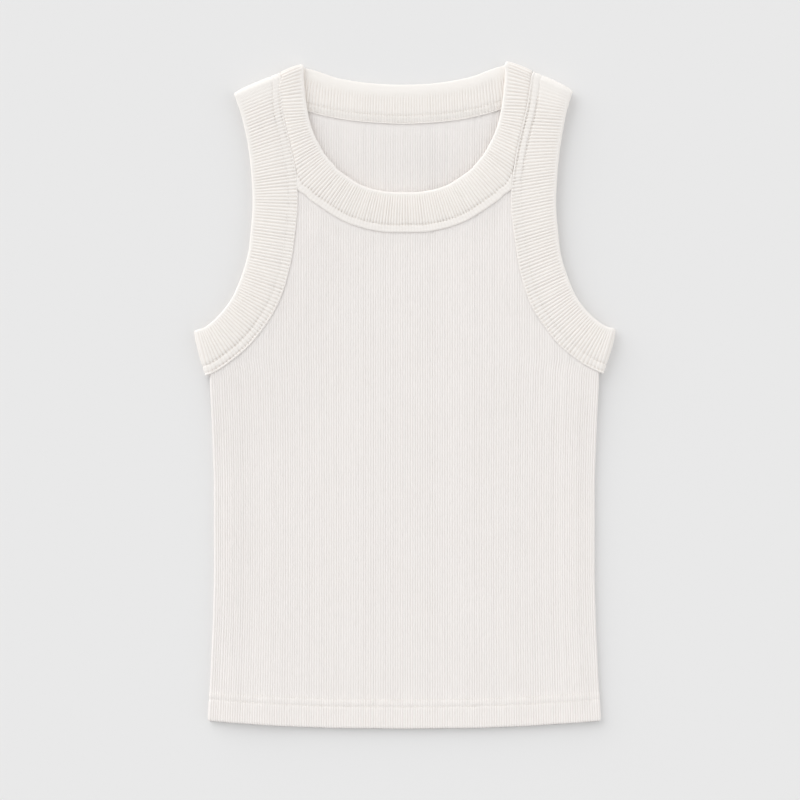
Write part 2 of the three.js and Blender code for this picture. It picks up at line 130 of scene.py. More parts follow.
ARMHOLE = table(ARMHOLE_NAMES, [
    (103.6, 180.0, 78.1, 190.4, 77.8, 182.6, 14.2, 21.5, 0.15, 0.5, 1),
    (101.2, 168.0, 76.5, 177.6, 74.4, 168.9, 15.0, 25.9, 0, 0.4, 1),
    (99.0, 154.0, 72.9, 162.0, 70.8, 152.0, 17.8, 27.6, 0, 0.3, 0.9),
    (97.5, 137.0, 68.8, 141.5, 68.2, 131.9, 25.6, 29.1, 0, 0.2, 0.3),
    (97.0, 122.0, 68.2, 120.5, 68.5, 115.4, 28.7, 28.7, 0, 0.2, 0.1),
    (98.2, 106.0, 70.0, 102.0, 70.9, 97.5, 28.4, 28.4, 0, 0.2, 0.1),
    (100.2, 90.0, 72.6, 84.5, 73.9, 79.7, 28.1, 28.1, 0, 0.2, 0.2),
    (105.6, 73.1, 79.0, 62.8, 80.0, 60.2, 28.5, 28.5, 0, 0.3, 0.3),
    (111.0, 61.6, 88.3, 45.9, 89.3, 44.5, 27.6, 27.6, 0, 0.5, 0.3),
    (119.0, 51.4, 100.0, 31.5, 100.1, 31.4, 27.5, 27.5, 0, 0.8, 0.3),
    (126.9, 44.6, 113.6, 20.8, 113.6, 20.8, 26.8, 26.8, 0, 0.9, 0.4)])
print(len(ARMHOLE["edge_x"]), "cuts down each armhole")

# %% [markdown]
# ## How high the cloth lies
# Four layers of binding pile up on a strap, and only two panels lie on each other in the body. The
# height eases from one to the other. It is worked out from how far a place is from the bindings, so it
# needs no sculpting by hand.

# %% Distances and heights over the surface
FRONT_PLATEAU, FRONT_EASE = 4.0, 62.0
BACK_PLATEAU, BACK_EASE = 13.0, 24.0
STRAP_LOW, STRAP_HIGH = 148.0, 168.0
UNDERARM_LOW = 11.0


def smooth(t):
    t = np.clip(t, 0, 1)
    return t * t * (3 - 2 * t)


def curve_through(points, steps=8):
    """A smooth line through points, with some steps between each two."""
    points = np.asarray(points, float)
    padded = np.vstack([points[:1], points, points[-1:]])
    at = np.linspace(0, 1, steps, endpoint=False)[:, None]
    parts = []
    for i in range(len(points) - 1):
        p, q, r, s = padded[i : i + 4]
        parts.append(0.5 * (2 * q + (r - p) * at + (2 * p - 5 * q + 4 * r - s) * at**2
                            + (3 * q - p - 3 * r + s) * at**3))
    return np.vstack(parts + [points[-1:]])


def inner_edge(cuts, before=(), after=()):
    middle = np.column_stack([cuts["inner_x"], cuts["inner_y"]])
    return curve_through(np.vstack([*[[p] for p in before], middle, *[[p] for p in after]]), 4)


ARMHOLE_EDGE = inner_edge(ARMHOLE, [(81, 215), (79.5, 206.7)], [(123.2, 16.0), (140, UNDERARM_LOW)])
NECK_EDGE = inner_edge(NECK_FRONT)
BACK_NECK_EDGE = inner_edge(NECK_BACK, [(87.6, 199.2)])


def distance_to(line, x, y):
    start, step = line[:-1], np.diff(line, axis=0)
    px, py = np.asarray(x)[..., None] - start[:, 0], np.asarray(y)[..., None] - start[:, 1]
    t = np.clip((px * step[:, 0] + py * step[:, 1]) / (step**2).sum(1), 0, 1)
    return np.hypot(px - t * step[:, 0], py - t * step[:, 1]).min(-1)


def clear_of_armhole(x, y):
    """How far a place is inward of the armhole binding, and 0 under it."""
    across = np.abs(x)
    edge_here = np.interp(y, ARMHOLE_EDGE[::-1, 1], ARMHOLE_EDGE[::-1, 0])
    under = (y > UNDERARM_LOW) & (across >= edge_here)
    return np.where(under, 0, distance_to(ARMHOLE_EDGE, across, y))


def clear_of_neck(edge, x, y):
    across = np.abs(x)
    under = y >= np.interp(across, edge[::-1, 0], edge[::-1, 1])
    return np.where(under, 0, distance_to(edge, across, y))


def face_height(x, y):
    """The height of a binding's face on the front."""
    near_armhole = 1 - smooth((clear_of_armhole(x, y) - FRONT_PLATEAU) / FRONT_EASE)
    on_strap = smooth((y - STRAP_LOW) / (STRAP_HIGH - STRAP_LOW))
    return BODY_PILE + (PILE - BODY_PILE) * np.maximum(near_armhole, on_strap)


def back_height(x, y):
    nearest = np.minimum(clear_of_armhole(x, y), clear_of_neck(BACK_NECK_EDGE, x, y))
    return PLY * (1 - smooth((nearest - BACK_PLATEAU) / BACK_EASE))


sample_heights = face_height(np.array([0, 85.0]), np.array([0, 180.0]))
print("heights at the middle and on a strap:", sample_heights.round(2))

# %% [markdown]
# The front doesn't lie quite flat. Light from the upper left shows long soft troughs and ridges, most
# of them upright along the ribs and a few that come in from the armholes. Each is one row here, uneven
# as in life.

# %% Soft folds in the front and the back
FOLD_NAMES = "x y length width lean rise"
FRONT_FOLDS = table(FOLD_NAMES, [
    (-113, -85, 260, 10, 1, 0.7), (-99, -85, 240, 10, 1, -0.35), (109, -90, 280, 9, -1, 0.7),
    (-94, -208, 70, 22, 0, 1.1), (-62, 38, 90, 15, 32, -0.4),
    (74, 44, 70, 12, -28, -0.5), (-30, -60, 230, 26, 3, 0.4), (42, -20, 190, 22, -4, 0.35),
    (12, -120, 160, 24, 2, -0.3), (-108, 2, 34, 10, 0, -0.6), (-61, 106, 26, 10, 0, 0.8),
    (-112, -184, 22, 11, 0, 0.6), (110, -185, 22, 11, 0, 0.5), (58, 108, 24, 8, 10, -0.3)])
BACK_FOLDS = table(FOLD_NAMES, [
    (-20, 120, 70, 14, 6, 0.2), (22, 128, 60, 14, -8, -0.1), (48, 140, 50, 9, -20, 0.15)])
FOLD_FADE = 14.0


def fold_rise(folds, x, y, clear):
    total = np.zeros_like(x)
    for i in range(len(folds["x"])):
        lean = math.radians(folds["lean"][i])
        dx, dy = x - folds["x"][i], y - folds["y"][i]
        across = dx * math.cos(lean) - dy * math.sin(lean)
        lengthwise = dx * math.sin(lean) + dy * math.cos(lean)
        shape = np.exp(-((across / folds["width"][i]) ** 2) - (2 * lengthwise / folds["length"][i]) ** 2)
        total += folds["rise"][i] * shape
    return total * smooth(clear / FOLD_FADE)


print(len(FRONT_FOLDS["x"]), "soft folds in the front")

# %% [markdown]
# ## Turning numbers into meshes
# Every piece of cloth here is a grid of points. One helper makes a mesh from points and faces, turns
# its faces outward and shades it smooth. Three numbers are kept on every point for the knit's material:
# how many ribs along the piece it is, how far along its rib, and how strongly the ribs stand out there.

# %% Helpers for meshes
COLLECTION = bpy.context.scene.collection
NUDGES = table("x y reach dx dy", [
    (85, 205, 45, 0, 2.1), (-109, 194, 22, -1.3, 0), (-127, 15, 16, 0, -1.2), (134, 41, 20, 0.7, 1.0)])


def settled(points):
    """Points moved a little in plan, because the left and the right don't lie quite alike."""
    moved = points.copy()
    for i in range(len(NUDGES["x"])):
        far = np.hypot(points[:, 0] - NUDGES["x"][i], points[:, 1] - NUDGES["y"][i]) / NUDGES["reach"][i]
        moved[:, 0] += NUDGES["dx"][i] * np.exp(-far**2)
        moved[:, 1] += NUDGES["dy"][i] * np.exp(-far**2)
    return moved


def grid_faces(rows, columns, wrap_rows, wrap_columns):
    """Faces of a grid of points that are numbered row by row."""
    r = np.arange(rows if wrap_rows else rows - 1)
    c = np.arange(columns if wrap_columns else columns - 1)
    r, c = np.meshgrid(r, c, indexing="ij")
    r2, c2 = (r + 1) % rows, (c + 1) % columns
    corners = [r * columns + c, r2 * columns + c, r2 * columns + c2, r * columns + c2]
    return np.stack(corners, -1).reshape(-1, 4)


def join_ends(a, places_a, b, places_b):
    """Triangles between two lines of points that need not match."""
    faces, i, j = [], 0, 0
    while i < len(a) - 1 or j < len(b) - 1:
        step_a = j == len(b) - 1 or (i < len(a) - 1 and places_a[i + 1] <= places_b[j + 1])
        faces.append((a[i], a[i + 1], b[j]) if step_a else (a[i], b[j + 1], b[j]))
        i, j = (i + 1, j) if step_a else (i, j + 1)
    return faces


def signed_volume(points, faces):
    total = 0.0
    for k in range(1, faces.shape[1] - 1):
        a, b, c = points[faces[:, 0]], points[faces[:, k]], points[faces[:, k + 1]]
        total += (a * np.cross(b, c)).sum()
    return total / 6


def make_piece(name, points, quads, triangles=(), knit=()):
    """A smooth mesh from points in millimetres. Its faces are turned to point out."""
    points, quads = settled(np.asarray(points, float)), np.asarray(quads)
    triangles = np.asarray(triangles, int).reshape(-1, 3)
    volume = signed_volume(points, quads) + (signed_volume(points, triangles) if len(triangles) else 0)
    if volume < 0:
        quads, triangles = quads[:, ::-1], triangles[:, ::-1]
    mesh = bpy.data.meshes.new(name)
    mesh.from_pydata((points * MM).tolist(), [], quads.tolist() + triangles.tolist())
    for label, values in zip(("rib_count", "rib_run", "rib_strength"), knit):
        kept = mesh.attributes.new(label, "FLOAT", "POINT")
        kept.data.foreach_set("value", np.asarray(values, np.float32))
    mesh.shade_smooth()
    piece = bpy.data.objects.new(name, mesh)
    COLLECTION.objects.link(piece)
    print(f"{name}: {len(points)} points, {2 * len(quads) + len(triangles)} triangles")
    return piece


# %% [markdown]
# ## Rib knit
# In rib knit, columns of stitches stand up in turn on the two faces, so the cloth has soft round ridges
# with narrow valleys between. They are fine, but they show from a step away and catch the light, so
# they are real shape here and not a bump. A cosine raised to a power gives the round top and the narrow
# valley. No two ribs are quite alike, so each one has its own small shift and depth from a seeded list
# of random numbers.

# %% The shape of a rib
BODY_RIBS = 158
STEPS_A_RIB, BACK_STEPS_A_RIB = 6, 4
RIB_RISE = 0.31
BINDING_RIB_PITCH = 2.06
NECK_RIB_PITCH = 1.73
BINDING_RIB_RISE = 0.42
BINDING_STEPS_A_RIB = 5
CREST_POWER = 0.7
UNEVEN_RIBS = 400
uneven = np.random.default_rng(11)
SHIFT_SPREAD, DEPTH_SPREAD = 0.06, 0.25
RIB_SHIFT = uneven.normal(0, SHIFT_SPREAD, UNEVEN_RIBS)
RIB_DEPTH = 1 + uneven.normal(0, DEPTH_SPREAD, UNEVEN_RIBS)


def per_rib(values, count):
    """Each rib's own value, blended between neighbours."""
    below = np.floor(count).astype(int)
    first, second = values[below % len(values)], values[(below + 1) % len(values)]
    return first + (second - first) * (count - below)


def rib_wave(count):
    """1 on a rib's crest and 0 in the valley between two."""
    return (0.5 + 0.5 * np.cos(2 * np.pi * count)) ** CREST_POWER


print("a rib's height from valley to crest:", rib_wave(np.linspace(0.5, 1, 4)).round(2))

# %% [markdown]
# ## The panels
# A panel is a grid of upright columns, because that is how its ribs run. The last few columns go round
# the fold at the side, where the front meets the back. The columns keep their places on the cloth as
# the sides curve, so the ribs lean with the sides near the hem, as they do on the real one. The hem is
# turned up inside and sewn with two rows.

# %% Columns, hem and pressed places
HEM_DEPTHS = (18.6, 14.0)
HEM_DETAIL = 24.0
HEM_STEPS = [0, 0.25, 0.6, 1.1, 2, 4, 7, 10, 12, 13, 13.5, 14, 14.5, 15, 16, 17, 17.8, 18.2, 18.6, 19, 19.5,
             20.5, 22]
UPPER_STEPS, BACK_UPPER_STEPS = 56, 44
ROW_CROWDING = 0.92
CURL_STEPS = 12
PUCKER, PUCKER_MIDDLE, PUCKER_REACH = 0.19, 16.0, 4.5
PUCKER_WAVES = (1.9, 23.0, 6.1, 3.3)
TUCK_SHARE, TUCK_FROM, TUCK_EASE, TUCK_EDGE_EASE = 0.8, 67.0, 4.0, 2.5


def column_places(count):
    """Columns from one side to the other: -1 to 1 on the flat, and a further 1 round each fold."""
    curl = 1 + (np.arange(CURL_STEPS) + 1) / CURL_STEPS
    return np.concatenate([-curl[::-1], np.linspace(-1, 1, count + 1), curl])


def panel_rows(across, top, front):
    """How high each place of a panel's rows lies, and how far that is above the hem's edge."""
    top_x = np.abs(across) * SIDE_TOP
    hem_y = np.interp(top_x, HEM_EDGE["x"], HEM_EDGE["y"])
    top_y = np.interp(top_x, top["x"], top["y"])
    steps = UPPER_STEPS if front else BACK_UPPER_STEPS
    upper = np.linspace(0, 1, steps)[:, None] ** ROW_CROWDING
    from_hem = np.array(HEM_STEPS)[:, None]
    y = np.vstack([hem_y + from_hem, hem_y + HEM_DETAIL + (top_y - hem_y - HEM_DETAIL) * upper])
    return y, y - hem_y


def tucked(x, y):
    """How far the front is pressed down beside the strap, where the bindings lap."""
    edge_y = np.interp(np.abs(x), NECK_EDGE[::-1, 0], NECK_EDGE[::-1, 1])
    beside_strap = smooth((np.abs(x) - TUCK_FROM) / TUCK_EASE)
    return TUCK_SHARE * PLY * beside_strap * smooth((y - edge_y) / TUCK_EDGE_EASE)


def puckers(x, depth):
    """Small waves that the hem's thread pulls into the cloth."""
    fine, drift, beat, second = PUCKER_WAVES
    waves = np.sin(x / fine + 2 * np.sin(x / drift)) * np.sin(x / beat + 1)
    waves = waves + 0.5 * np.sin(x / second + depth / 3)
    return PUCKER * waves * np.exp(-(((depth - PUCKER_MIDDLE) / PUCKER_REACH) ** 2))


print(len(column_places(BODY_RIBS * STEPS_A_RIB)), "columns across the front's outer face")

# %% [markdown]
# The level of a panel is the height of the pile of cloth there, with the soft folds. Cloth that runs up
# to a binding bulges a little beside it. The relief is all that stands out of that level: the ribs, the
# thicker hem with its rounded edge, the troughs under the stitches and the puckers between them.
# Keeping the two apart lets each be set by itself.

# %% Level and relief of a panel
HEM_FOLD = 1.3
HEM_THICKER, HEM_EASE = 0.35, 1.5
HEM_TROUGH, HEM_TROUGH_WIDTH = 0.3, 0.7
INNER_TUCK = 0.3
NEAR_BAND, NEAR_BAND_REACH = 0.35, 12.0
BESIDE_BINDING, BESIDE_REACH = 0.45, 7.0


def panel_level(x, y, clear, flat_edge, front, side):
    """The level of one side of a panel. The back's outer face lies on the surface, with no soft folds."""
    inward = np.minimum(clear, np.maximum(flat_edge - np.abs(x), 0))
    if not front:
        return back_height(x, y) + fold_rise(BACK_FOLDS, x, y, inward) * (side == "inner")
    level = face_height(x, y) - PLY + fold_rise(FRONT_FOLDS, x, y, inward)
    return level - tucked(x, y) + BESIDE_BINDING * (1 - smooth(clear / BESIDE_REACH))


def panel_relief(x, y, depth, valley, on_flat, front, side):
    """How far one side of a panel stands out of its level."""
    hem = smooth((HEM_DEPTHS[0] + HEM_EASE - depth) / HEM_EASE) * HEM_THICKER
    trough = sum(HEM_TROUGH * np.exp(-(((depth - row) / HEM_TROUGH_WIDTH) ** 2)) for row in HEM_DEPTHS)
    tuck = HEM_FOLD - np.sqrt(np.maximum(HEM_FOLD**2 - np.maximum(HEM_FOLD - depth, 0) ** 2, 0))
    if side == "outer":
        return valley - trough - tuck + (hem + puckers(x, depth) if front else 0)
    if front:
        return -WALL - hem + INNER_TUCK * tuck
    from_band = clear_of_neck(BACK_NECK_EDGE, x, y)
    near_band = NEAR_BAND * (1 - smooth(from_band / NEAR_BAND_REACH))
    return -WALL - hem - valley * on_flat + INNER_TUCK * tuck - near_band


print(f"the hem is {WALL + HEM_THICKER:.2f} mm thick where the panel is {WALL:.2f} mm")

# %% [markdown]
# One side of a panel is the grid bent into place: its columns follow the curve of the sides, and past
# each side they go round in a half turn. The side fold isn't a half circle, because the front's cloth
# lies on the back's and sags over it, so it is a small round corner below a taller one.

# %% One side of a panel
CURL_RIBS = 2
CURL_FADE = 0.3
RIB_FADE = 2.5
SIDE_LEVEL, SIDE_ROUND = 0.32, 0.6
SIDE_PULL = 3
RIB_OVER_EDGE, RIB_OVER_REACH = 0.22, 1.2
BACK_HEM_OUT, BACK_HEM_REACH = 0.5, 3.0


def panel_surface(place, top, front, side):
    """Points of one side of a panel, its outer face or its inner one, as a grid of rows and columns."""
    across = np.clip(place, -1, 1)
    curl = np.abs(place) - np.abs(across)
    y, depth = panel_rows(across, top, front)
    edge = np.interp(y, SIDE["y"], SIDE["x"])
    high, low = face_height(edge, y) - PLY, back_height(edge, y)
    radius = SIDE_ROUND * (high - low) / 2
    flat_edge = edge - radius
    x = np.sign(across) * (np.abs(across) * SIDE_TOP + (flat_edge - SIDE_TOP) * np.abs(across) ** SIDE_PULL)
    neck_edge = NECK_EDGE if front else BACK_NECK_EDGE
    clear = np.minimum(clear_of_armhole(x, y), clear_of_neck(neck_edge, x, y))

    count = across * BODY_RIBS / 2 + np.sign(across) * curl * CURL_RIBS
    count = count + per_rib(RIB_SHIFT, count)
    strength = smooth(clear / RIB_FADE) * smooth((2 - np.abs(place)) / CURL_FADE)
    ribs = rib_wave(count) * strength
    valley = RIB_RISE * per_rib(RIB_DEPTH, count) * (ribs - 1)
    up = 1 if front else -1
    rise = panel_relief(x, y, depth, valley, curl == 0, front, side)
    z = panel_level(x, y, clear, flat_edge, front, side) + up * rise

    middle = low + (high - low) * SIDE_LEVEL
    tall = (high - low) * (1 - SIDE_LEVEL if front else SIDE_LEVEL)
    turn = np.pi / 2 * (1 - curl) + GAP / 2 / tall * curl
    curled = curl > 0
    r = radius + np.where(curled, rise, 0)
    x = np.where(curled, np.sign(across) * (flat_edge + r * np.cos(turn)), x)
    z = np.where(curled, middle + up * (tall + r - radius) * np.sin(turn), z)
    hem_out = 0 if front else BACK_HEM_OUT * smooth(1 - depth / BACK_HEM_REACH)
    y = y - RIB_OVER_EDGE * ribs * smooth(1 - depth / RIB_OVER_REACH) - hem_out
    return np.stack([x, y, z], -1), np.broadcast_to(count, x.shape), depth, strength


print(f"the side fold goes from {SIDE_LEVEL:.2f} of the cloth's height both ways")

# %% [markdown]
# The outer side and the inner one are joined along both side folds into a closed tube of cloth, and the
# hem's edge and the top are closed with thin rows of triangles. The front's inner side needs few
# columns, because none of it is seen. The back's shows in the neck's opening, so it has its ribs.

# %% Make the front and the back
FRONT_INNER_COLUMNS, BACK_INNER_COLUMNS = 60, BODY_RIBS * 4


def closes_wrong_way(quads, triangles):
    """Whether the end triangles and the quads run along a shared edge in the same direction."""
    a, b = triangles[0][:2]
    for shift in range(4):
        first, second = quads[:, shift], quads[:, (shift + 1) % 4]
        if ((first == a) & (second == b)).any():
            return True
    return False


def make_panel(name, top, front, inner_columns):
    outer_place = column_places(BODY_RIBS * (STEPS_A_RIB if front else BACK_STEPS_A_RIB))
    inner_place = column_places(inner_columns)
    outer, *outer_knit = panel_surface(outer_place, top, front, "outer")
    inner, *inner_knit = panel_surface(inner_place, top, front, "inner")
    loop = np.concatenate([outer, inner[:, ::-1]], axis=1)
    rows, columns = loop.shape[:2]
    quads = grid_faces(rows, columns, False, True)
    outer_ids = np.arange(len(outer_place))
    inner_ids = len(outer_place) + np.arange(len(inner_place))[::-1]
    last = (rows - 1) * columns
    ends = join_ends(outer_ids, outer_place, inner_ids, inner_place)
    ends += join_ends(inner_ids + last, inner_place, outer_ids + last, outer_place)
    quads_out = quads[:, ::-1] if closes_wrong_way(quads, ends) else quads
    knit = [np.concatenate([a, b[:, ::-1]], 1).ravel() for a, b in zip(outer_knit, inner_knit)]
    return make_piece(name, loop.reshape(-1, 3), quads_out, ends, knit)


front_panel = make_panel("front_rib_knit", FRONT_TOP, True, FRONT_INNER_COLUMNS)
back_panel = make_panel("back_rib_knit", BACK_TOP, False, BACK_INNER_COLUMNS)

# %% [markdown]
# ## The bindings
# A binding is a strip of the same knit, folded over the raw edge with its ribs across it. Going round
# the garment it turns over the shoulder fold, so its cuts roll from the front to the back there. The
# table's cuts are joined to the cuts on the folds, and the whole ring is then cut again at even steps,
# a few to each rib.

# %% Helpers for cuts
ROLL = np.linspace(90, -90, 13)[1:-1]


def with_turn(cuts, turn, out=(0, 0)):
    """The cuts with how far they have rolled: 90 degrees on the front, -90 on the back."""
    size = len(cuts["edge_x"])
    return {**cuts, "turn": np.full(size, float(turn)), "out_x": np.full(size, float(out[0])),
            "out_y": np.full(size, float(out[1]))}


def fold_cut(edge, inner, out, **extra):
    """The cut that lies along a fold, moved in to the fold's axis."""
    inside = np.asarray(out) * PILE / 2
    row = {"edge_x": edge[0] - inside[0], "edge_y": edge[1] - inside[1],
           "inner_x": inner[0] - inside[0], "inner_y": inner[1] - inside[1], **extra}
    return {name: np.array([float(value)]) for name, value in row.items()}


def mirrored(cuts):
    across = ("edge_x", "inner_x", "out_x")
    return {name: -values if name in across else values for name, values in cuts.items()}


def reversed_cuts(cuts):
    return {name: values[::-1] for name, values in cuts.items()}


def chained(*parts):
    return {name: np.concatenate([part[name] for part in parts]) for name in parts[0]}


def smoothed(cuts, steps=10):
    names = list(cuts)
    fine = curve_through(np.column_stack([cuts[name] for name in names]), steps)
    return dict(zip(names, fine.T))


def rolled(cut, turns, out):
    return chained(*[with_turn(cut, turn, out) for turn in turns])


def width_of(cuts):
    return np.hypot(cuts["inner_x"] - cuts["edge_x"], cuts["inner_y"] - cuts["edge_y"])


print(len(ROLL), "cuts on the roll over a fold")

# %% [markdown]
# The ribs must be evenly spaced and whole in number all round, or a broken rib would show at the ring's
# join. So the length of the ring is measured along its middle in ribs, rounded, and cut again in equal
# shares. The neck's ribs lie closer in the middle of the curve, where the strip is eased, than at the
# straps, where it is pulled straight.

# %% Even steps of a rib
NECK_CLOSE_HALF, NECK_CLOSE_EASE = 28.0, 26.0


def at_even_steps(ring, pitch_at, steps_a_rib):
    """The ring cut again at even steps of a rib along its middle, with a whole number of ribs round it."""
    turn = np.radians(ring["turn"])
    x = (ring["edge_x"] + ring["inner_x"]) / 2 + ring["out_x"] * PILE / 2 * np.cos(turn)
    y = (ring["edge_y"] + ring["inner_y"]) / 2 + ring["out_y"] * PILE / 2 * np.cos(turn)
    z = PILE / 2 * (1 + np.sin(turn))
    middle = np.column_stack([x, y, z])
    step = np.linalg.norm(np.diff(np.vstack([middle, middle[:1]]), axis=0), axis=1)
    run = np.concatenate([[0], np.cumsum(step / pitch_at(middle[:, 0]))])
    ribs = int(round(run[-1]))
    at = np.linspace(0, run[-1], ribs * steps_a_rib, endpoint=False)
    closed = {name: np.append(values, values[0]) for name, values in ring.items()}
    return {name: np.interp(at, run, values) for name, values in closed.items()}, ribs, step.sum()


def neck_pitch(x):
    to_strap = smooth((np.abs(x) - NECK_CLOSE_HALF) / NECK_CLOSE_EASE)
    return NECK_RIB_PITCH + (BINDING_RIB_PITCH - NECK_RIB_PITCH) * to_strap


def armhole_pitch(x):
    return np.full_like(x, BINDING_RIB_PITCH)


middle_and_strap = neck_pitch(np.array([0, 60.0])).round(2)
print("the neck's ribs are apart by", middle_and_strap, "mm at the middle and a strap")

# %% [markdown]
# The neck's ring starts on the front at the right shoulder and goes down round the front, up to the
# left shoulder, over its fold, along the back and over the right fold. The cut on each fold is worked
# out, and the rest are the tables'.

# %% The neck's ring
def neck_ring():
    shoulder = (SHOULDER_TIP - NECK_POINT) / np.linalg.norm(SHOULDER_TIP - NECK_POINT)
    out = np.array([-shoulder[1], shoulder[0]])
    cut = fold_cut(NECK_POINT, NECK_POINT + shoulder * NECK_WIDTH, out, lap=NECK_LAP_AT_SHOULDER, dip=PLY)
    left_cut, left_out = mirrored(cut), out * (-1, 1)
    left_cut["lap"] = left_cut["lap"] - LEFT_LAP_LESS_AT_SHOULDER
    left_lap = NECK_FRONT["lap"] - LEFT_LAP_LESS * (NECK_FRONT["dip"] > 0)
    left_front = mirrored({**NECK_FRONT, "lap": left_lap})
    half_back = chained(cut, NECK_BACK)
    to_middle = {name: values[:-1] for name, values in left_front.items()}
    from_middle = {name: values[:-1] for name, values in half_back.items()}
    front = smoothed(chained(cut, NECK_FRONT, reversed_cuts(to_middle), left_cut))
    back = smoothed(chained(left_cut, mirrored(NECK_BACK), reversed_cuts(from_middle)))
    return chained(with_turn(front, 90), rolled(left_cut, ROLL, left_out), with_turn(back, -90),
                   rolled(cut, ROLL[::-1], out))


print("cuts round the neck ring:", len(neck_ring()["turn"]))

# %% [markdown]
# An armhole's ring runs from the shoulder down the front to the underarm and up the back. Its face on
# the back lies a little inward of the front's, so the front's fold hides it from above. Both rings are
# made as if on the right, and the points of the left one are mirrored before they become a mesh.

# %% The armholes' rings
def of_side(cuts, side):
    """The cuts of the left armhole, or of the right one, where the ribs lean another way."""
    chosen = {name: cuts[name] for name in ARMHOLE_NAMES.split() if not name.startswith("right")}
    if side > 0:
        chosen.update(inner_x=cuts["right_x"], inner_y=cuts["right_y"], seam=cuts["right_seam"])
    return chosen


def armhole_ring(side):
    shoulder = (NECK_POINT - SHOULDER_TIP) / np.linalg.norm(NECK_POINT - SHOULDER_TIP)
    shoulder_out = np.array([shoulder[1], -shoulder[0]])
    width = np.linalg.norm(UNDERARM_END - UNDERARM_TIP)
    down = (UNDERARM_END - UNDERARM_TIP) / width
    side_out = np.array([-down[1], down[0]])
    shoulder_width = RIGHT_WIDTH_AT_SHOULDER if side > 0 else LEFT_WIDTH_AT_SHOULDER
    at_shoulder = fold_cut(
        SHOULDER_TIP, SHOULDER_TIP + shoulder * shoulder_width, shoulder_out, plain=1, seam=0.6,
        back_face=LAP_END_AT_SHOULDER, back_face_behind=LAP_END_AT_SHOULDER)
    at_side = fold_cut(
        UNDERARM_TIP, UNDERARM_END, side_out, plain=0.4, seam=0.8, back_face=width, back_face_behind=width)
    before = of_side(ARMHOLE, side)
    behind = {**before, "edge_x": before["edge_x"] - BACK_INSET,
              "back_face": before["back_face_behind"] - BACK_INSET}
    front = smoothed(chained(at_shoulder, before, at_side))
    back = smoothed(chained(at_side, reversed_cuts(behind), at_shoulder))
    return chained(with_turn(front, 90), rolled(at_side, ROLL, side_out), with_turn(back, -90),
                   rolled(at_shoulder, ROLL[::-1], shoulder_out))


print("cuts round an armhole ring:", len(armhole_ring(1)["turn"]))

# %% [markdown]
# Across a binding, the cloth isn't flat. The neck's is sewn down with one row of thread about 5 mm from
# its sewn edge and an armhole's with two rows, and the thread pulls the cloth into a groove. The strip
# from the sewn edge to the last groove lies low, and from there to the folded edge the cloth is puffed.
# The ribs fade just before the fold, which is stretched smooth and catches the light, and they are
# deepest where the thread crosses a valley.

# %% The relief across a binding
NECK_ROWS, ARMHOLE_ROWS = (5.0,), (1.6, 6.2)
GROOVE, GROOVE_WIDTH = 0.45, 0.6
NECK_SEAM = 0.45
STRIP_RIBS, STRIP_EASE = 0.35, 1.2
PIT = 1.15
EDGE_RIDGE, RIDGE_PLACE, RIDGE_WIDTH = 0.2, 0.6, 0.5
EDGE_DROP, EDGE_ROUND = 0.45, 0.8
PUFF, PUFF_SKEW = 0.3, 0.8
FOLD_SLOPE, FOLD_REACH = 0.75, 7.5
RIB_START = 0.8
FOLD_PLAIN, FOLD_PLAIN_EASE = 0.8, 2.8


def fold_slope(distance):
    """How far the cloth slopes down towards its folded edge."""
    return FOLD_SLOPE * np.clip(1 - distance / FOLD_REACH, 0, 1) ** 2


def face_relief(from_sewn_edge, from_fold, width, rows, seam):
    """How far the cloth stands out of a flat face, from its sewn edge to its folded one."""
    last = rows[-1]
    past = np.clip((from_sewn_edge - last) / (width - last - FOLD_RADIUS), 0, 1)
    puff = PUFF * np.sin(np.pi * past**PUFF_SKEW)
    grooves = sum(GROOVE * np.exp(-(((from_sewn_edge - row) / GROOVE_WIDTH) ** 2)) for row in rows)
    ridge = EDGE_RIDGE * np.exp(-(((from_sewn_edge - RIDGE_PLACE) / RIDGE_WIDTH) ** 2))
    rounded = EDGE_DROP * (1 - smooth(from_sewn_edge / EDGE_ROUND))
    return puff + seam * (ridge - grooves) - rounded - fold_slope(from_fold)


def rib_strength(from_sewn_edge, from_fold, rows, seam):
    """How strongly the ribs stand out: weak on the sewn strip, deep where the thread crosses a valley."""
    strip = 1 - (1 - STRIP_RIBS) * seam * (1 - smooth((from_sewn_edge - rows[-1]) / STRIP_EASE))
    pits = sum(np.exp(-(((from_sewn_edge - row) / GROOVE_WIDTH) ** 2)) for row in rows)
    starts = smooth(from_sewn_edge / RIB_START)
    return (strip + PIT * seam * pits) * starts * smooth((from_fold - FOLD_PLAIN) / FOLD_PLAIN_EASE)


print("ribs on the strip, in the groove and past it:",
      rib_strength(np.array([2.5, 5, 15]), np.array([23, 20, 10]), NECK_ROWS, 1).round(2))

# %% [markdown]
# A point of a binding is given by how far it is from the folded edge and how deep it lies below the
# face. The two turn into a place in space along its cut, which stands up on the front, rolls over at a
# fold and hangs on the back. Where the armhole binding laps the neck binding, the neck's cloth is
# pressed down by one ply.

# %% Points of a binding
LAP_EASE = 1.3


def ring_point(ring, distance, depth):
    """A point of a binding, from how far it is from the folded edge and how deep it is below the face."""
    t = distance / width_of(ring)[:, None]
    x = ring["edge_x"][:, None] * (1 - t) + ring["inner_x"][:, None] * t
    y = ring["edge_y"][:, None] * (1 - t) + ring["inner_y"][:, None] * t
    turn = np.radians(ring["turn"])[:, None]
    radius = face_height(x, y) / 2
    reach = (radius - depth) * np.cos(turn)
    return np.stack([x + ring["out_x"][:, None] * reach, y + ring["out_y"][:, None] * reach,
                     radius + (radius - depth) * np.sin(turn)], -1)


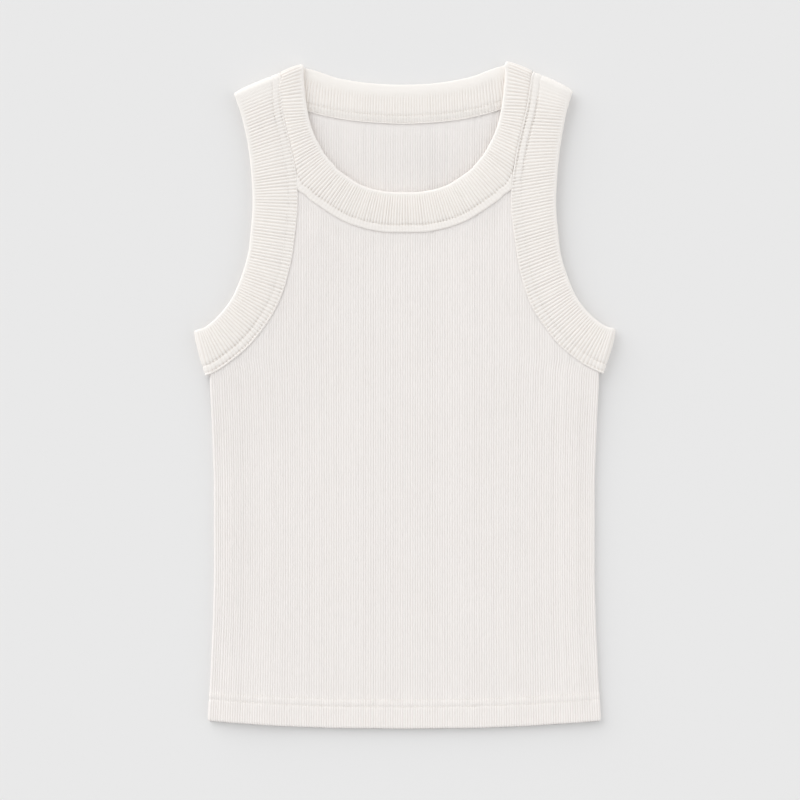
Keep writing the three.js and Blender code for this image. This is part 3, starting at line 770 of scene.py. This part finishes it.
def pressed_by_lap(ring, distance):
    """How deep the neck binding is pressed under the armhole binding that laps it."""
    if "dip" not in ring:
        return np.zeros_like(distance)
    lap = ring["lap"][:, None]
    return ring["dip"][:, None] * smooth((distance - lap) / LAP_EASE)


print(f"the neck's cloth is pressed down by up to {PLY:.1f} mm under the lap")

# %% [markdown]
# A cut through a binding is a closed line: across the face, round the fold, across the back face, and
# back inside through the slot that holds the panel. The places on the face crowd together at the rows
# of thread, where the shape changes quickly. Inside the neck the sewn edge lies low, held by its own
# two rows.

# %% The face and the back face
FACE_STEPS = 24
NEAR_ROW, NEAR_EDGE = (-0.9, -0.3, 0.3, 0.9), (0.3, 0.8)
NECK_STRIP_SEAM = 1.1
PRESSED_FLAT = 0.7
INSIDE_EDGE_LOW, INSIDE_EDGE_REACH = 0.4, 8.0
INSIDE_GROOVE, INSIDE_GROOVE_WIDTH = 0.3, 0.5
INSIDE_ROWS = (1.1, 5.6)
INSIDE_RIBS, INSIDE_SMOOTH = 0.75, 5.0
INSIDE_QUICKER = 1.6


def shares_across(width, rows):
    """Places from 0 at the sewn edge to 1 at the fold, for every cut of a ring."""
    steps = len(width)
    even = np.repeat(np.linspace(0, 1, FACE_STEPS)[None, :], steps, 0)
    near_rows = [np.full((steps, 1), row + off) / width for row in rows for off in NEAR_ROW]
    near_edge = [np.full((steps, 1), off) / width for off in NEAR_EDGE]
    return np.sort(np.concatenate([even, *near_rows, *near_edge], 1), 1)


def outer_face(ring, share, width, rows, seam, ribs, wave):
    """Distances, depths and rib strengths across the face."""
    turn = np.radians(ring["turn"])[:, None]
    from_sewn = share * (width - FOLD_RADIUS)
    distance = width - from_sewn
    press = pressed_by_lap(ring, distance)
    relief = face_relief(from_sewn, distance, width, rows, seam) * (1 - press / PLY)
    resting = np.maximum(relief, 0) * np.maximum(-np.sin(turn), 0)
    strip_seam = np.maximum(seam, NECK_STRIP_SEAM * ("dip" in ring))
    strength = rib_strength(from_sewn, distance, rows, strip_seam) * (1 - PRESSED_FLAT * press / PLY)
    return distance, press - relief + resting + strength * ribs * wave, strength * ribs


def inner_face(share, back_face, rows, seam, ribs, wave):
    """The same across the back face."""
    from_sewn = share[:, ::-1] * (back_face - FOLD_RADIUS)
    distance = back_face - from_sewn
    strength = rib_strength(from_sewn, distance, rows, seam) * ribs * INSIDE_RIBS
    strength = strength * smooth((distance - INSIDE_SMOOTH) / INSIDE_SMOOTH)
    low = INSIDE_EDGE_LOW * (1 - smooth(from_sewn / INSIDE_EDGE_REACH))
    for row in INSIDE_ROWS:
        low = low + INSIDE_GROOVE * np.exp(-(((from_sewn - row) / INSIDE_GROOVE_WIDTH) ** 2))
    slope = fold_slope(FOLD_RADIUS + INSIDE_QUICKER * (distance - FOLD_RADIUS))
    return distance, BINDING_DEPTH - strength * wave - slope - low, strength


print(shares_across(np.full((1, 1), NECK_WIDTH), NECK_ROWS).shape[1], "places across the neck binding's face")

# %% [markdown]
# The closed line is completed with the round fold and the slot, and one such line at every step of the
# ring makes the whole binding: a grid that joins up both ways, with no open edge anywhere. The neck's
# back face is narrower at the straps, where the other layers fill the pile.

# %% Make the three bindings
ARC = np.radians(np.linspace(0, 180, 9))
SLOT_ARC = np.radians(np.array([180, 135, 90, 45, 0]))
SLOT_HALF, SLOT_REACH = 0.55, 1.0
SLOT_FLOOR, SLOT_ROOF = BINDING_DEPTH - WALL * 0.9, WALL * 0.8
ROOF_START, ROOF_STEPS = 9.0, (8, 4, 0)
STRAP_CLEAR, STRAP_DIP, STRAP_CLEAR_LAP, STRAP_CLEAR_EASE = 7.5, 0.4, 14.0, 3.0


def ring_section(ring, count, back_face, rows):
    """Distances, depths and rib strengths round the closed line of a cut, at every step of the ring."""
    width, back_face = width_of(ring)[:, None], back_face[:, None]
    steps = len(ring["turn"])
    share = shares_across(width, rows)
    ribs = 1 - ring.get("plain", np.zeros(steps))[:, None]
    seam = ring.get("seam", np.full(steps, NECK_SEAM))[:, None]
    valleys = 1 - rib_wave(count + per_rib(RIB_SHIFT, count))
    wave = (BINDING_RIB_RISE * per_rib(RIB_DEPTH, count) * valleys)[:, None]
    distance, face, strength = outer_face(ring, share, width, rows, seam, ribs, wave)
    back_distance, back, back_strength = inner_face(share, back_face, rows, seam, ribs, wave)

    ones = np.ones((steps, 1))
    start = fold_slope(FOLD_RADIUS)
    fold = (start + (BINDING_DEPTH - 2 * start) * (1 - np.cos(ARC[1:-1])) / 2)[None, :] * ones
    fold_distance = (FOLD_RADIUS - FOLD_RADIUS * np.sin(ARC[1:-1]))[None, :] * ones
    slot_depth = (FOLD_RADIUS - SLOT_HALF * np.cos(SLOT_ARC))[None, :] * ones
    slot_distance = (FOLD_RADIUS - SLOT_REACH * np.sin(SLOT_ARC))[None, :] * ones
    roof = np.concatenate([ROOF_START * ones, *[width - step for step in ROOF_STEPS]], 1)
    distances = [distance, fold_distance, back_distance, back_face, slot_distance, roof]
    depths = [face, fold, back, SLOT_FLOOR * ones, slot_depth, SLOT_ROOF + pressed_by_lap(ring, roof)]
    strengths = [strength, 0 * fold, back_strength, 0 * ones, 0 * slot_depth, 0 * roof]
    return np.concatenate(distances, 1), np.concatenate(depths, 1), np.concatenate(strengths, 1)


def make_binding(name, ring, pitch_at, back_face_of, rows, side=1):
    cuts, ribs, length = at_even_steps(ring, pitch_at, BINDING_STEPS_A_RIB)
    count = np.arange(len(cuts["turn"])) / BINDING_STEPS_A_RIB
    distance, depth, strength = ring_section(cuts, count, back_face_of(cuts), rows)
    points = ring_point(cuts, distance, depth)
    points[..., 0] *= side
    height, columns = distance.shape
    knit = (np.repeat(count + per_rib(RIB_SHIFT, count), columns), distance.ravel(), strength.ravel())
    quads = grid_faces(height, columns, True, True)
    piece = make_piece(name, points.reshape(-1, 3), quads, (), knit)
    print(f"{name}: {ribs} ribs round {length:.0f} mm")
    return piece, cuts, length


def clear_of_strap(cuts):
    """The neck binding's back face, narrower on the front where the strap's other layers are."""
    on_front, pressed = smooth(cuts["turn"] / 90), smooth(cuts["dip"] / STRAP_DIP)
    past_lap = smooth((cuts["lap"] - STRAP_CLEAR_LAP) / STRAP_CLEAR_EASE)
    return width_of(cuts) - STRAP_CLEAR * on_front * pressed * past_lap


def stops_at_lap(cuts):
    return np.minimum(cuts["back_face"], width_of(cuts))


neck_binding, neck_cuts, neck_length = make_binding(
    "neck_binding_knit", neck_ring(), neck_pitch, clear_of_strap, NECK_ROWS)
right_binding, right_cuts, right_length = make_binding(
    "right_armhole_binding_knit", armhole_ring(1), armhole_pitch, stops_at_lap, ARMHOLE_ROWS)
left_binding, left_cuts, left_length = make_binding(
    "left_armhole_binding_knit", armhole_ring(-1), armhole_pitch, stops_at_lap, ARMHOLE_ROWS, -1)

# %% [markdown]
# ## Thread
# One row of stitches holds the neck binding down, two hold each armhole's and two hold the hem. Each
# stitch is a short thread that dives into the cloth at both ends. One small spindle is repeated along
# the sewn lines as one joined mesh, and rows of slightly uneven stitches look sewn and not printed. The
# random numbers are seeded, so every run sews the same row.

# %% One stitch, and many along a line
TOPSTITCH = {"pitch": 3.0, "length": 2.3, "thread": 0.42}
COVER_STITCH = {"pitch": 1.9, "length": 1.2, "thread": 0.4}
HEM_STITCH = {"pitch": 2.6, "length": 2.0, "thread": 0.4}
LOOPER_STITCH = {"pitch": 1.4, "length": 2.3, "thread": 0.4, "lean": 0.9}
STITCH_TURN, STITCH_STRETCH = 0.08, 0.1
LOOK_AHEAD = 0.4
SPINDLE_SIDES, SPINDLE_RINGS = 6, 5
SPINDLE_BELLY, SPINDLE_END = 1.02, 0.05
sewing = np.random.default_rng(7)


def spindle():
    """Points of one stitch along X with a length of 1, and its faces."""
    along = np.linspace(-0.5, 0.5, SPINDLE_RINGS)
    girth = np.sqrt(np.clip(SPINDLE_BELLY - (2 * along) ** 2, SPINDLE_END, 1))
    around = np.linspace(0, 2 * np.pi, SPINDLE_SIDES, endpoint=False)
    points = [(a, g * np.cos(t), g * np.sin(t)) for a, g in zip(along, girth) for t in around]
    faces = grid_faces(SPINDLE_RINGS, SPINDLE_SIDES, False, True)
    return np.array(points), faces


def along_line(line, pitch):
    step = np.linalg.norm(np.diff(line, axis=0), axis=1)
    run = np.concatenate([[0], np.cumsum(step)])
    at = np.arange(pitch / 2, run[-1], pitch)
    place = np.column_stack([np.interp(at, run, line[:, k]) for k in range(3)])
    ahead = np.column_stack([np.interp(at + LOOK_AHEAD, run, line[:, k]) for k in range(3)]) - place
    behind = place - np.column_stack([np.interp(at - LOOK_AHEAD, run, line[:, k]) for k in range(3)])
    direction = ahead + behind
    return place, direction / np.maximum(np.linalg.norm(direction, axis=1), 1e-9)[:, None]


def sew(name, lines):
    """One mesh of all the stitches along lines of (points, which way is up, kind of stitch)."""
    shape, faces = spindle()
    all_points, all_faces = [], []
    for line, up, stitch in lines:
        place, direction = along_line(line, stitch["pitch"])
        for i, (centre, ahead) in enumerate(zip(place, direction)):
            turn = sewing.normal(0, STITCH_TURN) + stitch.get("lean", 0) * (-1) ** i
            length = stitch["length"] * (1 + sewing.normal(0, STITCH_STRETCH))
            side = np.cross(up, ahead)
            ahead = ahead + side * turn
            size = shape * (length, stitch["thread"] / 2, stitch["thread"] / 2)
            all_faces.append(faces + len(shape) * len(all_points))
            placed = centre + size[:, :1] * ahead + size[:, 1:2] * side + size[:, 2:] * np.array(up)
            all_points.append(placed)
    return make_piece(name, np.vstack(all_points), np.vstack(all_faces))


print("corners of one stitch:", len(spindle()[0]))

# %% [markdown]
# A row on a binding follows its ring at a fixed distance from the sewn edge. The thread shows where the
# face is open to view, so a row stops where another binding laps it and where the ring turns over a
# fold. Inside the back of the neck the other side of the seam shows: two rows, with the looping thread
# that zigzags between them.

# %% Rows on the bindings
THREAD_DEPTH, INSIDE_THREAD_DEPTH = 0.3, 0.2
LOOPER_ROW = 3.4
SHORTEST_ROW = 8
LIES_FLAT, OPEN_TO_VIEW = 0.99, 0.05
ON_THE_BACK, INSIDE_OPEN = -89, 0.9


def ring_line(cuts, distance, depth, chosen, side=1):
    points = ring_point(cuts, distance[:, None], np.full((len(distance), 1), float(depth)))[:, 0]
    return points[chosen] * (side, 1, 1)


def stretches(chosen):
    """Runs of neighbours in a list of places."""
    order = np.flatnonzero(chosen)
    parts = np.split(order, np.flatnonzero(np.diff(order) > 1) + 1)
    return [part for part in parts if len(part) > SHORTEST_ROW]


def outer_rows(cuts, rows, stitch, side=1):
    """The rows on the front face, and the same rows on the back's outer face."""
    lines = []
    for front in (True, False):
        up = 1 if front else -1
        chosen = np.sin(np.radians(cuts["turn"])) * up > LIES_FLAT
        if "dip" in cuts:
            chosen &= cuts["dip"] < OPEN_TO_VIEW
        for row in rows:
            for part in stretches(chosen):
                line = ring_line(cuts, width_of(cuts) - row, THREAD_DEPTH, part, side)
                lines.append((line, (0, 0, up), stitch))
    return lines


def inside_rows(cuts, rows, stitch):
    """The rows that show inside the back of the neck."""
    chosen = (cuts["turn"] < ON_THE_BACK) & (cuts["dip"] < INSIDE_OPEN)
    lines = []
    for row in rows:
        low = INSIDE_EDGE_LOW * (1 - smooth(row / INSIDE_EDGE_REACH))
        depth = BINDING_DEPTH - low - INSIDE_THREAD_DEPTH
        for part in stretches(chosen):
            lines.append((ring_line(cuts, width_of(cuts) - row, depth, part), (0, 0, 1), stitch))
    return lines


neck_thread = sew("neck_topstitch", outer_rows(neck_cuts, NECK_ROWS, TOPSTITCH)
                  + inside_rows(neck_cuts, INSIDE_ROWS, COVER_STITCH)
                  + inside_rows(neck_cuts, (LOOPER_ROW,), LOOPER_STITCH))
right_thread = sew("right_armhole_topstitch", outer_rows(right_cuts, ARMHOLE_ROWS, COVER_STITCH))
left_thread = sew("left_armhole_topstitch", outer_rows(left_cuts, ARMHOLE_ROWS, COVER_STITCH, -1))

# %% [markdown]
# The hem's two rows run straight across, front and back, sunk in their troughs. They stop short of the
# side folds, where on the real one they go on round the edge out of sight.

# %% Rows at the hem
HEM_ROW_END, HEM_ROW_POINTS = 119.0, 240
HEM_ROW_SIDE = 122.0
HEM_SUNK = 0.1


def hem_rows(front):
    lines = []
    for depth in HEM_DEPTHS:
        x = np.linspace(-HEM_ROW_END, HEM_ROW_END, HEM_ROW_POINTS)
        y = np.interp(np.abs(x), HEM_EDGE["x"], HEM_EDGE["y"]) + depth
        sunk = HEM_TROUGH + HEM_SUNK
        if front:
            fold = fold_rise(FRONT_FOLDS, x, y, HEM_ROW_SIDE - np.abs(x))
            z = face_height(x, y) - PLY + HEM_THICKER - sunk + fold
        else:
            z = back_height(x, y) + sunk + HEM_SUNK
        lines.append((np.column_stack([x, y, z]), (0, 0, 1 if front else -1), HEM_STITCH))
    return lines


hem_thread = sew("hem_stitches", hem_rows(True) + hem_rows(False))

# %% [markdown]
# ## The knit's finish
# Close up, each rib is a column of small V-shaped stitches of soft cotton yarn. Two effects are used by
# every piece of knit, so each is a node group: one makes the stitches and shades the valleys between
# ribs, and one gives the yarn's fine bump. Groups give out only masks and heights, and the shader
# itself stays in each material. A few helpers come first, for a group, a sum, a material, a colour
# between two others and a bump.

# %% Node helpers
def new_group(name, inputs, outputs):
    group = bpy.data.node_groups.new(name, "ShaderNodeTree")
    for label, value in inputs:
        made = group.interface.new_socket(name=label, in_out="INPUT", socket_type="NodeSocketFloat")
        made.default_value = value
    for label in outputs:
        group.interface.new_socket(name=label, in_out="OUTPUT", socket_type="NodeSocketFloat")
    nodes = group.nodes
    return group, nodes.new("NodeGroupInput"), nodes.new("NodeGroupOutput")


def math_node(tree, operation, first, second=None):
    node = tree.nodes.new("ShaderNodeMath")
    node.operation = operation
    for place, value in enumerate((first, second)):
        if value is None:
            continue
        if isinstance(value, (int, float)):
            node.inputs[place].default_value = value
        else:
            tree.links.new(value, node.inputs[place])
    return node.outputs[0]


def new_material(name):
    material = bpy.data.materials.new(name)
    material.use_nodes = True
    return material, material.node_tree, material.node_tree.nodes["Principled BSDF"]


def to_linear(colour):
    """A colour counted from 0 to 255, as a shader wants it."""
    return (*[((c / 255 + 0.055) / 1.055) ** 2.4 for c in colour], 1)


def colour_between(tree, shader, first, second, factor):
    mixed = tree.nodes.new("ShaderNodeMix")
    mixed.data_type = "RGBA"
    mixed.inputs["A"].default_value = to_linear(first)
    mixed.inputs["B"].default_value = to_linear(second)
    tree.links.new(factor, mixed.inputs["Factor"])
    tree.links.new(mixed.outputs["Result"], shader.inputs["Base Color"])


def bump_from(tree, shader, height, strength, distance):
    bump = tree.nodes.new("ShaderNodeBump")
    bump.inputs["Strength"].default_value = strength
    bump.inputs["Distance"].default_value = distance
    tree.links.new(height, bump.inputs["Height"])
    tree.links.new(bump.outputs["Normal"], shader.inputs["Normal"])


print("white as a shader wants it:", to_linear((255, 255, 255)))

# %% [markdown]
# The stitch group turns the first two numbers kept on each point into little Vs. A V is a wave along
# the rib whose phase shifts with the distance from the rib's middle. The third number says how deep the
# valley beside it is shaded.

# %% Group: knit stitches and valley shade
KEEP_POSITIVE = 1000
VALLEY_SHADE_POWER = 3.0


def kept_value(group, name):
    node = group.nodes.new("ShaderNodeAttribute")
    node.attribute_name = name
    return node.outputs["Fac"]


def build_knit_group():
    inputs = [("Stitches a mm", 1.25), ("V depth", 1.0)]
    group, given, out = new_group("knit stitches and valley shade", inputs, ["Height", "Valley shade"])
    count, run, strength = (kept_value(group, name) for name in ("rib_count", "rib_run", "rib_strength"))
    cycle = math_node(group, "FRACT", math_node(group, "ADD", count, KEEP_POSITIVE + 0.5))
    off_middle = math_node(group, "ABSOLUTE", math_node(group, "SUBTRACT", cycle, 0.5))
    # Where shade is painted: deep in the valley between two ribs, as strong as the ribs stand out there.
    valley = math_node(group, "POWER", math_node(group, "MULTIPLY", off_middle, 2.0), VALLEY_SHADE_POWER)
    valley = math_node(group, "MULTIPLY", valley, strength)
    along = math_node(group, "MULTIPLY", run, given.outputs["Stitches a mm"])
    slant = math_node(group, "MULTIPLY", off_middle, given.outputs["V depth"])
    shifted = math_node(group, "ADD", along, slant)
    wave = math_node(group, "SINE", math_node(group, "MULTIPLY", shifted, 2 * math.pi))
    group.links.new(wave, out.inputs["Height"])
    group.links.new(valley, out.inputs["Valley shade"])
    return group


knit_group = build_knit_group()
print("group:", knit_group.name)

# %% [markdown]
# Cotton yarn is hairy and never quite even. The yarn group mixes a fine noise for the fibres with a
# broad one for slow changes in how the cloth takes the light. Both follow the object's own coordinates,
# so they stay on the cloth from every side.

# %% Group: cotton yarn
FIBRE_SCALE, PATCH_SCALE, FLECK_SCALE = 1500, 28, 260


def noise_node(group, position, scale, detail):
    noise = group.nodes.new("ShaderNodeTexNoise")
    noise.inputs["Scale"].default_value = scale
    noise.inputs["Detail"].default_value = detail
    group.links.new(position, noise.inputs["Vector"])
    return noise.outputs["Fac"]


def build_yarn_group():
    group, given, out = new_group("cotton yarn", [("Fibre", 1.0), ("Patch", 1.0)], ["Height", "Tone"])
    place = group.nodes.new("ShaderNodeTexCoord").outputs["Object"]
    fine = noise_node(group, place, FIBRE_SCALE, 3)
    broad = noise_node(group, place, PATCH_SCALE, 2)
    middle = noise_node(group, place, FLECK_SCALE, 2)
    fibre = math_node(group, "MULTIPLY", math_node(group, "SUBTRACT", fine, 0.5), given.outputs["Fibre"])
    patch = math_node(group, "ADD", math_node(group, "SUBTRACT", broad, 0.5),
                      math_node(group, "SUBTRACT", middle, 0.5))
    group.links.new(fibre, out.inputs["Height"])
    group.links.new(math_node(group, "MULTIPLY", patch, given.outputs["Patch"]), out.inputs["Tone"])
    return group


yarn_group = build_yarn_group()
print("group:", yarn_group.name)

# %% [markdown]
# The cloth is off-white cotton: matt, a little warm, with a faint soft sheen from its fibres. The valleys
# between ribs are coloured a shade deeper, which is painted shade added to the shade that the ribs' own shape
# casts.

# %% Knit materials
# The valley colours are painted shade: the valleys between ribs are coloured darker than the crests.
BODY_CREST, BODY_VALLEY_SHADE = (246.3, 241.8, 239), (229, 223, 217)
BINDING_CREST, BINDING_VALLEY_SHADE = (250, 244.8, 240), (224, 214.5, 205)
TONE_PATCHES, ROUGH_PATCHES, ROUGHNESS = 0.16, 0.1, 0.9
FIBRE_HEIGHT = 0.5
BUMP_STRENGTH, BUMP_DISTANCE = 0.55, 0.0002
COTTON = {
    "Subsurface Weight": 0.3, "Subsurface Radius": (1, 1, 1), "Subsurface Scale": 0.0012,
    "Sheen Weight": 0.12, "Sheen Roughness": 0.6, "Specular IOR Level": 0.2,
}


def knit_material(name, crest, valley, stitch_height, valley_shade_strength):
    material, tree, shader = new_material(name)
    knit = tree.nodes.new("ShaderNodeGroup")
    knit.node_tree = knit_group
    yarn = tree.nodes.new("ShaderNodeGroup")
    yarn.node_tree = yarn_group
    # Painted shade: the colour is mixed towards the darker valley colour in the valleys between ribs.
    painted_valley_shade = math_node(tree, "MULTIPLY", knit.outputs["Valley shade"], valley_shade_strength)
    patches = math_node(tree, "MULTIPLY", yarn.outputs["Tone"], TONE_PATCHES)
    colour_between(tree, shader, crest, valley, math_node(tree, "ADD", painted_valley_shade, patches))
    rough_patches = math_node(tree, "MULTIPLY", yarn.outputs["Tone"], ROUGH_PATCHES)
    tree.links.new(math_node(tree, "ADD", rough_patches, ROUGHNESS), shader.inputs["Roughness"])
    height = math_node(tree, "ADD", math_node(tree, "MULTIPLY", knit.outputs["Height"], stitch_height),
                       math_node(tree, "MULTIPLY", yarn.outputs["Height"], FIBRE_HEIGHT))
    bump_from(tree, shader, height, BUMP_STRENGTH, BUMP_DISTANCE)
    for label, value in COTTON.items():
        shader.inputs[label].default_value = value
    return material


body_knit = knit_material(
    "fine rib knit", BODY_CREST, BODY_VALLEY_SHADE, stitch_height=0.25, valley_shade_strength=0.6)
binding_knit = knit_material(
    "binding rib knit", BINDING_CREST, BINDING_VALLEY_SHADE, stitch_height=0.3, valley_shade_strength=0.7)
print("materials:", body_knit.name, "and", binding_knit.name)

# %% [markdown]
# Sewing thread is smoother and tighter than the yarn, with a slight shine and a twist that shows as fine
# slanting lines. A wave texture across the thread gives the twist as a bump, and it also colours the twist's
# grooves darker, which is painted shade.

# %% Thread material
# The darker thread colour is painted shade for the grooves of the twist.
THREAD_GROOVE_SHADE, THREAD_LIGHT = (240, 235, 228), (252, 249, 244)
TWIST_SCALE = 900
TWIST_STRENGTH, TWIST_DISTANCE = 0.4, 0.0001
THREAD_ROUGHNESS = 0.6


def thread_material():
    material, tree, shader = new_material("cotton sewing thread")
    place = tree.nodes.new("ShaderNodeTexCoord").outputs["Object"]
    twist = tree.nodes.new("ShaderNodeTexWave")
    twist.bands_direction = "DIAGONAL"
    twist.inputs["Scale"].default_value = TWIST_SCALE
    tree.links.new(place, twist.inputs["Vector"])
    # Painted shade: the colour goes darker in the twist's grooves, along the same wave as the bump.
    colour_between(tree, shader, THREAD_GROOVE_SHADE, THREAD_LIGHT, twist.outputs["Fac"])
    bump_from(tree, shader, twist.outputs["Fac"], TWIST_STRENGTH, TWIST_DISTANCE)
    shader.inputs["Roughness"].default_value = THREAD_ROUGHNESS
    return material


thread = thread_material()
print("material:", thread.name)

# %% [markdown]
# ## What each piece stands for
# Each knit piece replaces the plain solid of the same cut. They all ride on the one rigid body, because cloth
# has no joints. The thread replaces nothing, because the plain model has none.

# %% Dress the frame
PIECES = (
    (front_panel, "front_panel", "body_rib_knit", body_knit),
    (back_panel, "back_panel", "body_rib_knit", body_knit),
    (neck_binding, "neck_binding", "binding_rib_knit", binding_knit),
    (left_binding, "armhole_binding_left", "binding_rib_knit", binding_knit),
    (right_binding, "armhole_binding_right", "binding_rib_knit", binding_knit),
)
for piece, node, slot, material in PIECES:
    piece.data.materials.append(material)
    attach(piece, "root")
    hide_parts(node)
for piece in (neck_thread, left_thread, right_thread, hem_thread):
    piece.data.materials.append(thread)
    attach(piece, "root")
print(len(PIECES), "pieces of cloth stand for the plain ones")

# %% [markdown]


# %% [markdown]
# ## Surface, light and camera
# The garment was photographed from straight above on a pale grey surface, matt and with no grain. A
# large flat square just below the cloth does for it. It reaches far past the picture on every side, so
# that the light on it is even.

# %% The surface
FLOOR_SIZE = 6.0
FLOOR_DROP = 0.0001
FLOOR_COLOUR = (235, 235, 235)
FLOOR_ROUGHNESS, FLOOR_SHINE = 0.9, 0.1


def make_floor():
    half = FLOOR_SIZE / 2
    mesh = bpy.data.meshes.new("pale_surface")
    corners = [(-half, -half), (half, -half), (half, half), (-half, half)]
    mesh.from_pydata([(x, y, -FLOOR_DROP) for x, y in corners], [], [(0, 1, 2, 3)])
    floor = bpy.data.objects.new("pale_surface", mesh)
    COLLECTION.objects.link(floor)
    material, _, shader = new_material("pale matt surface")
    shader.inputs["Base Color"].default_value = to_linear(FLOOR_COLOUR)
    shader.inputs["Roughness"].default_value = FLOOR_ROUGHNESS
    shader.inputs["Specular IOR Level"].default_value = FLOOR_SHINE
    mesh.materials.append(material)
    return floor


make_floor()
print("the surface is", FLOOR_SIZE, "m across")

# %% [markdown]
# Most of the light comes evenly from all round, as from a white ceiling, and it darkens the surface
# softly close to the cloth on every side. A wide low light from the upper left draws the ribs and lays
# a soft shadow along the right side and below the hem. A weak one from the right keeps that shadow
# pale.

# %% Light
SKY_STRENGTH = 0.692
SUNS = (
    ("soft key", 2.0, 72, Vector((-0.97, 1.0, 0.46))),
    ("soft fill", 0.5, 60, Vector((1.0, -0.15, 0.5))),
)

world = bpy.data.worlds.new("studio")
bpy.context.scene.world = world
world.use_nodes = True
world.node_tree.nodes["Background"].inputs["Color"].default_value = (1, 1, 1, 1)
world.node_tree.nodes["Background"].inputs["Strength"].default_value = SKY_STRENGTH
for name, strength, softness, comes_from in SUNS:
    light = bpy.data.lights.new(name, "SUN")
    light.energy = strength
    light.angle = math.radians(softness)
    lamp = bpy.data.objects.new(name, light)
    lamp.rotation_euler = comes_from.to_track_quat("Z", "Y").to_euler()
    COLLECTION.objects.link(lamp)
    print("the", name, "comes from", comes_from.to_tuple(2))
bpy.context.scene.view_settings.view_transform = "Standard"

# %% [markdown]
# The picture is 512 mm wide at the cloth, and its middle is a little left of the garment's. The camera
# looks straight down, and a long lens keeps the outline as flat as in the photograph.

# %% Camera
VIEW_WIDTH = 512.0
VIEW_MIDDLE = (-2.8, -2.4)
LENS, SENSOR = 85.0, 36.0
CLOTH_LEVEL = 4.0
camera_data = bpy.data.cameras.new("camera")
camera_data.lens, camera_data.sensor_width = LENS, SENSOR
camera = bpy.data.objects.new("camera", camera_data)
camera_height = (CLOTH_LEVEL + VIEW_WIDTH * LENS / SENSOR) * MM
camera.location = (VIEW_MIDDLE[0] * MM, VIEW_MIDDLE[1] * MM, camera_height)
COLLECTION.objects.link(camera)
bpy.context.scene.camera = camera
print("the camera is", round(camera.location.z, 3), "m above the surface")
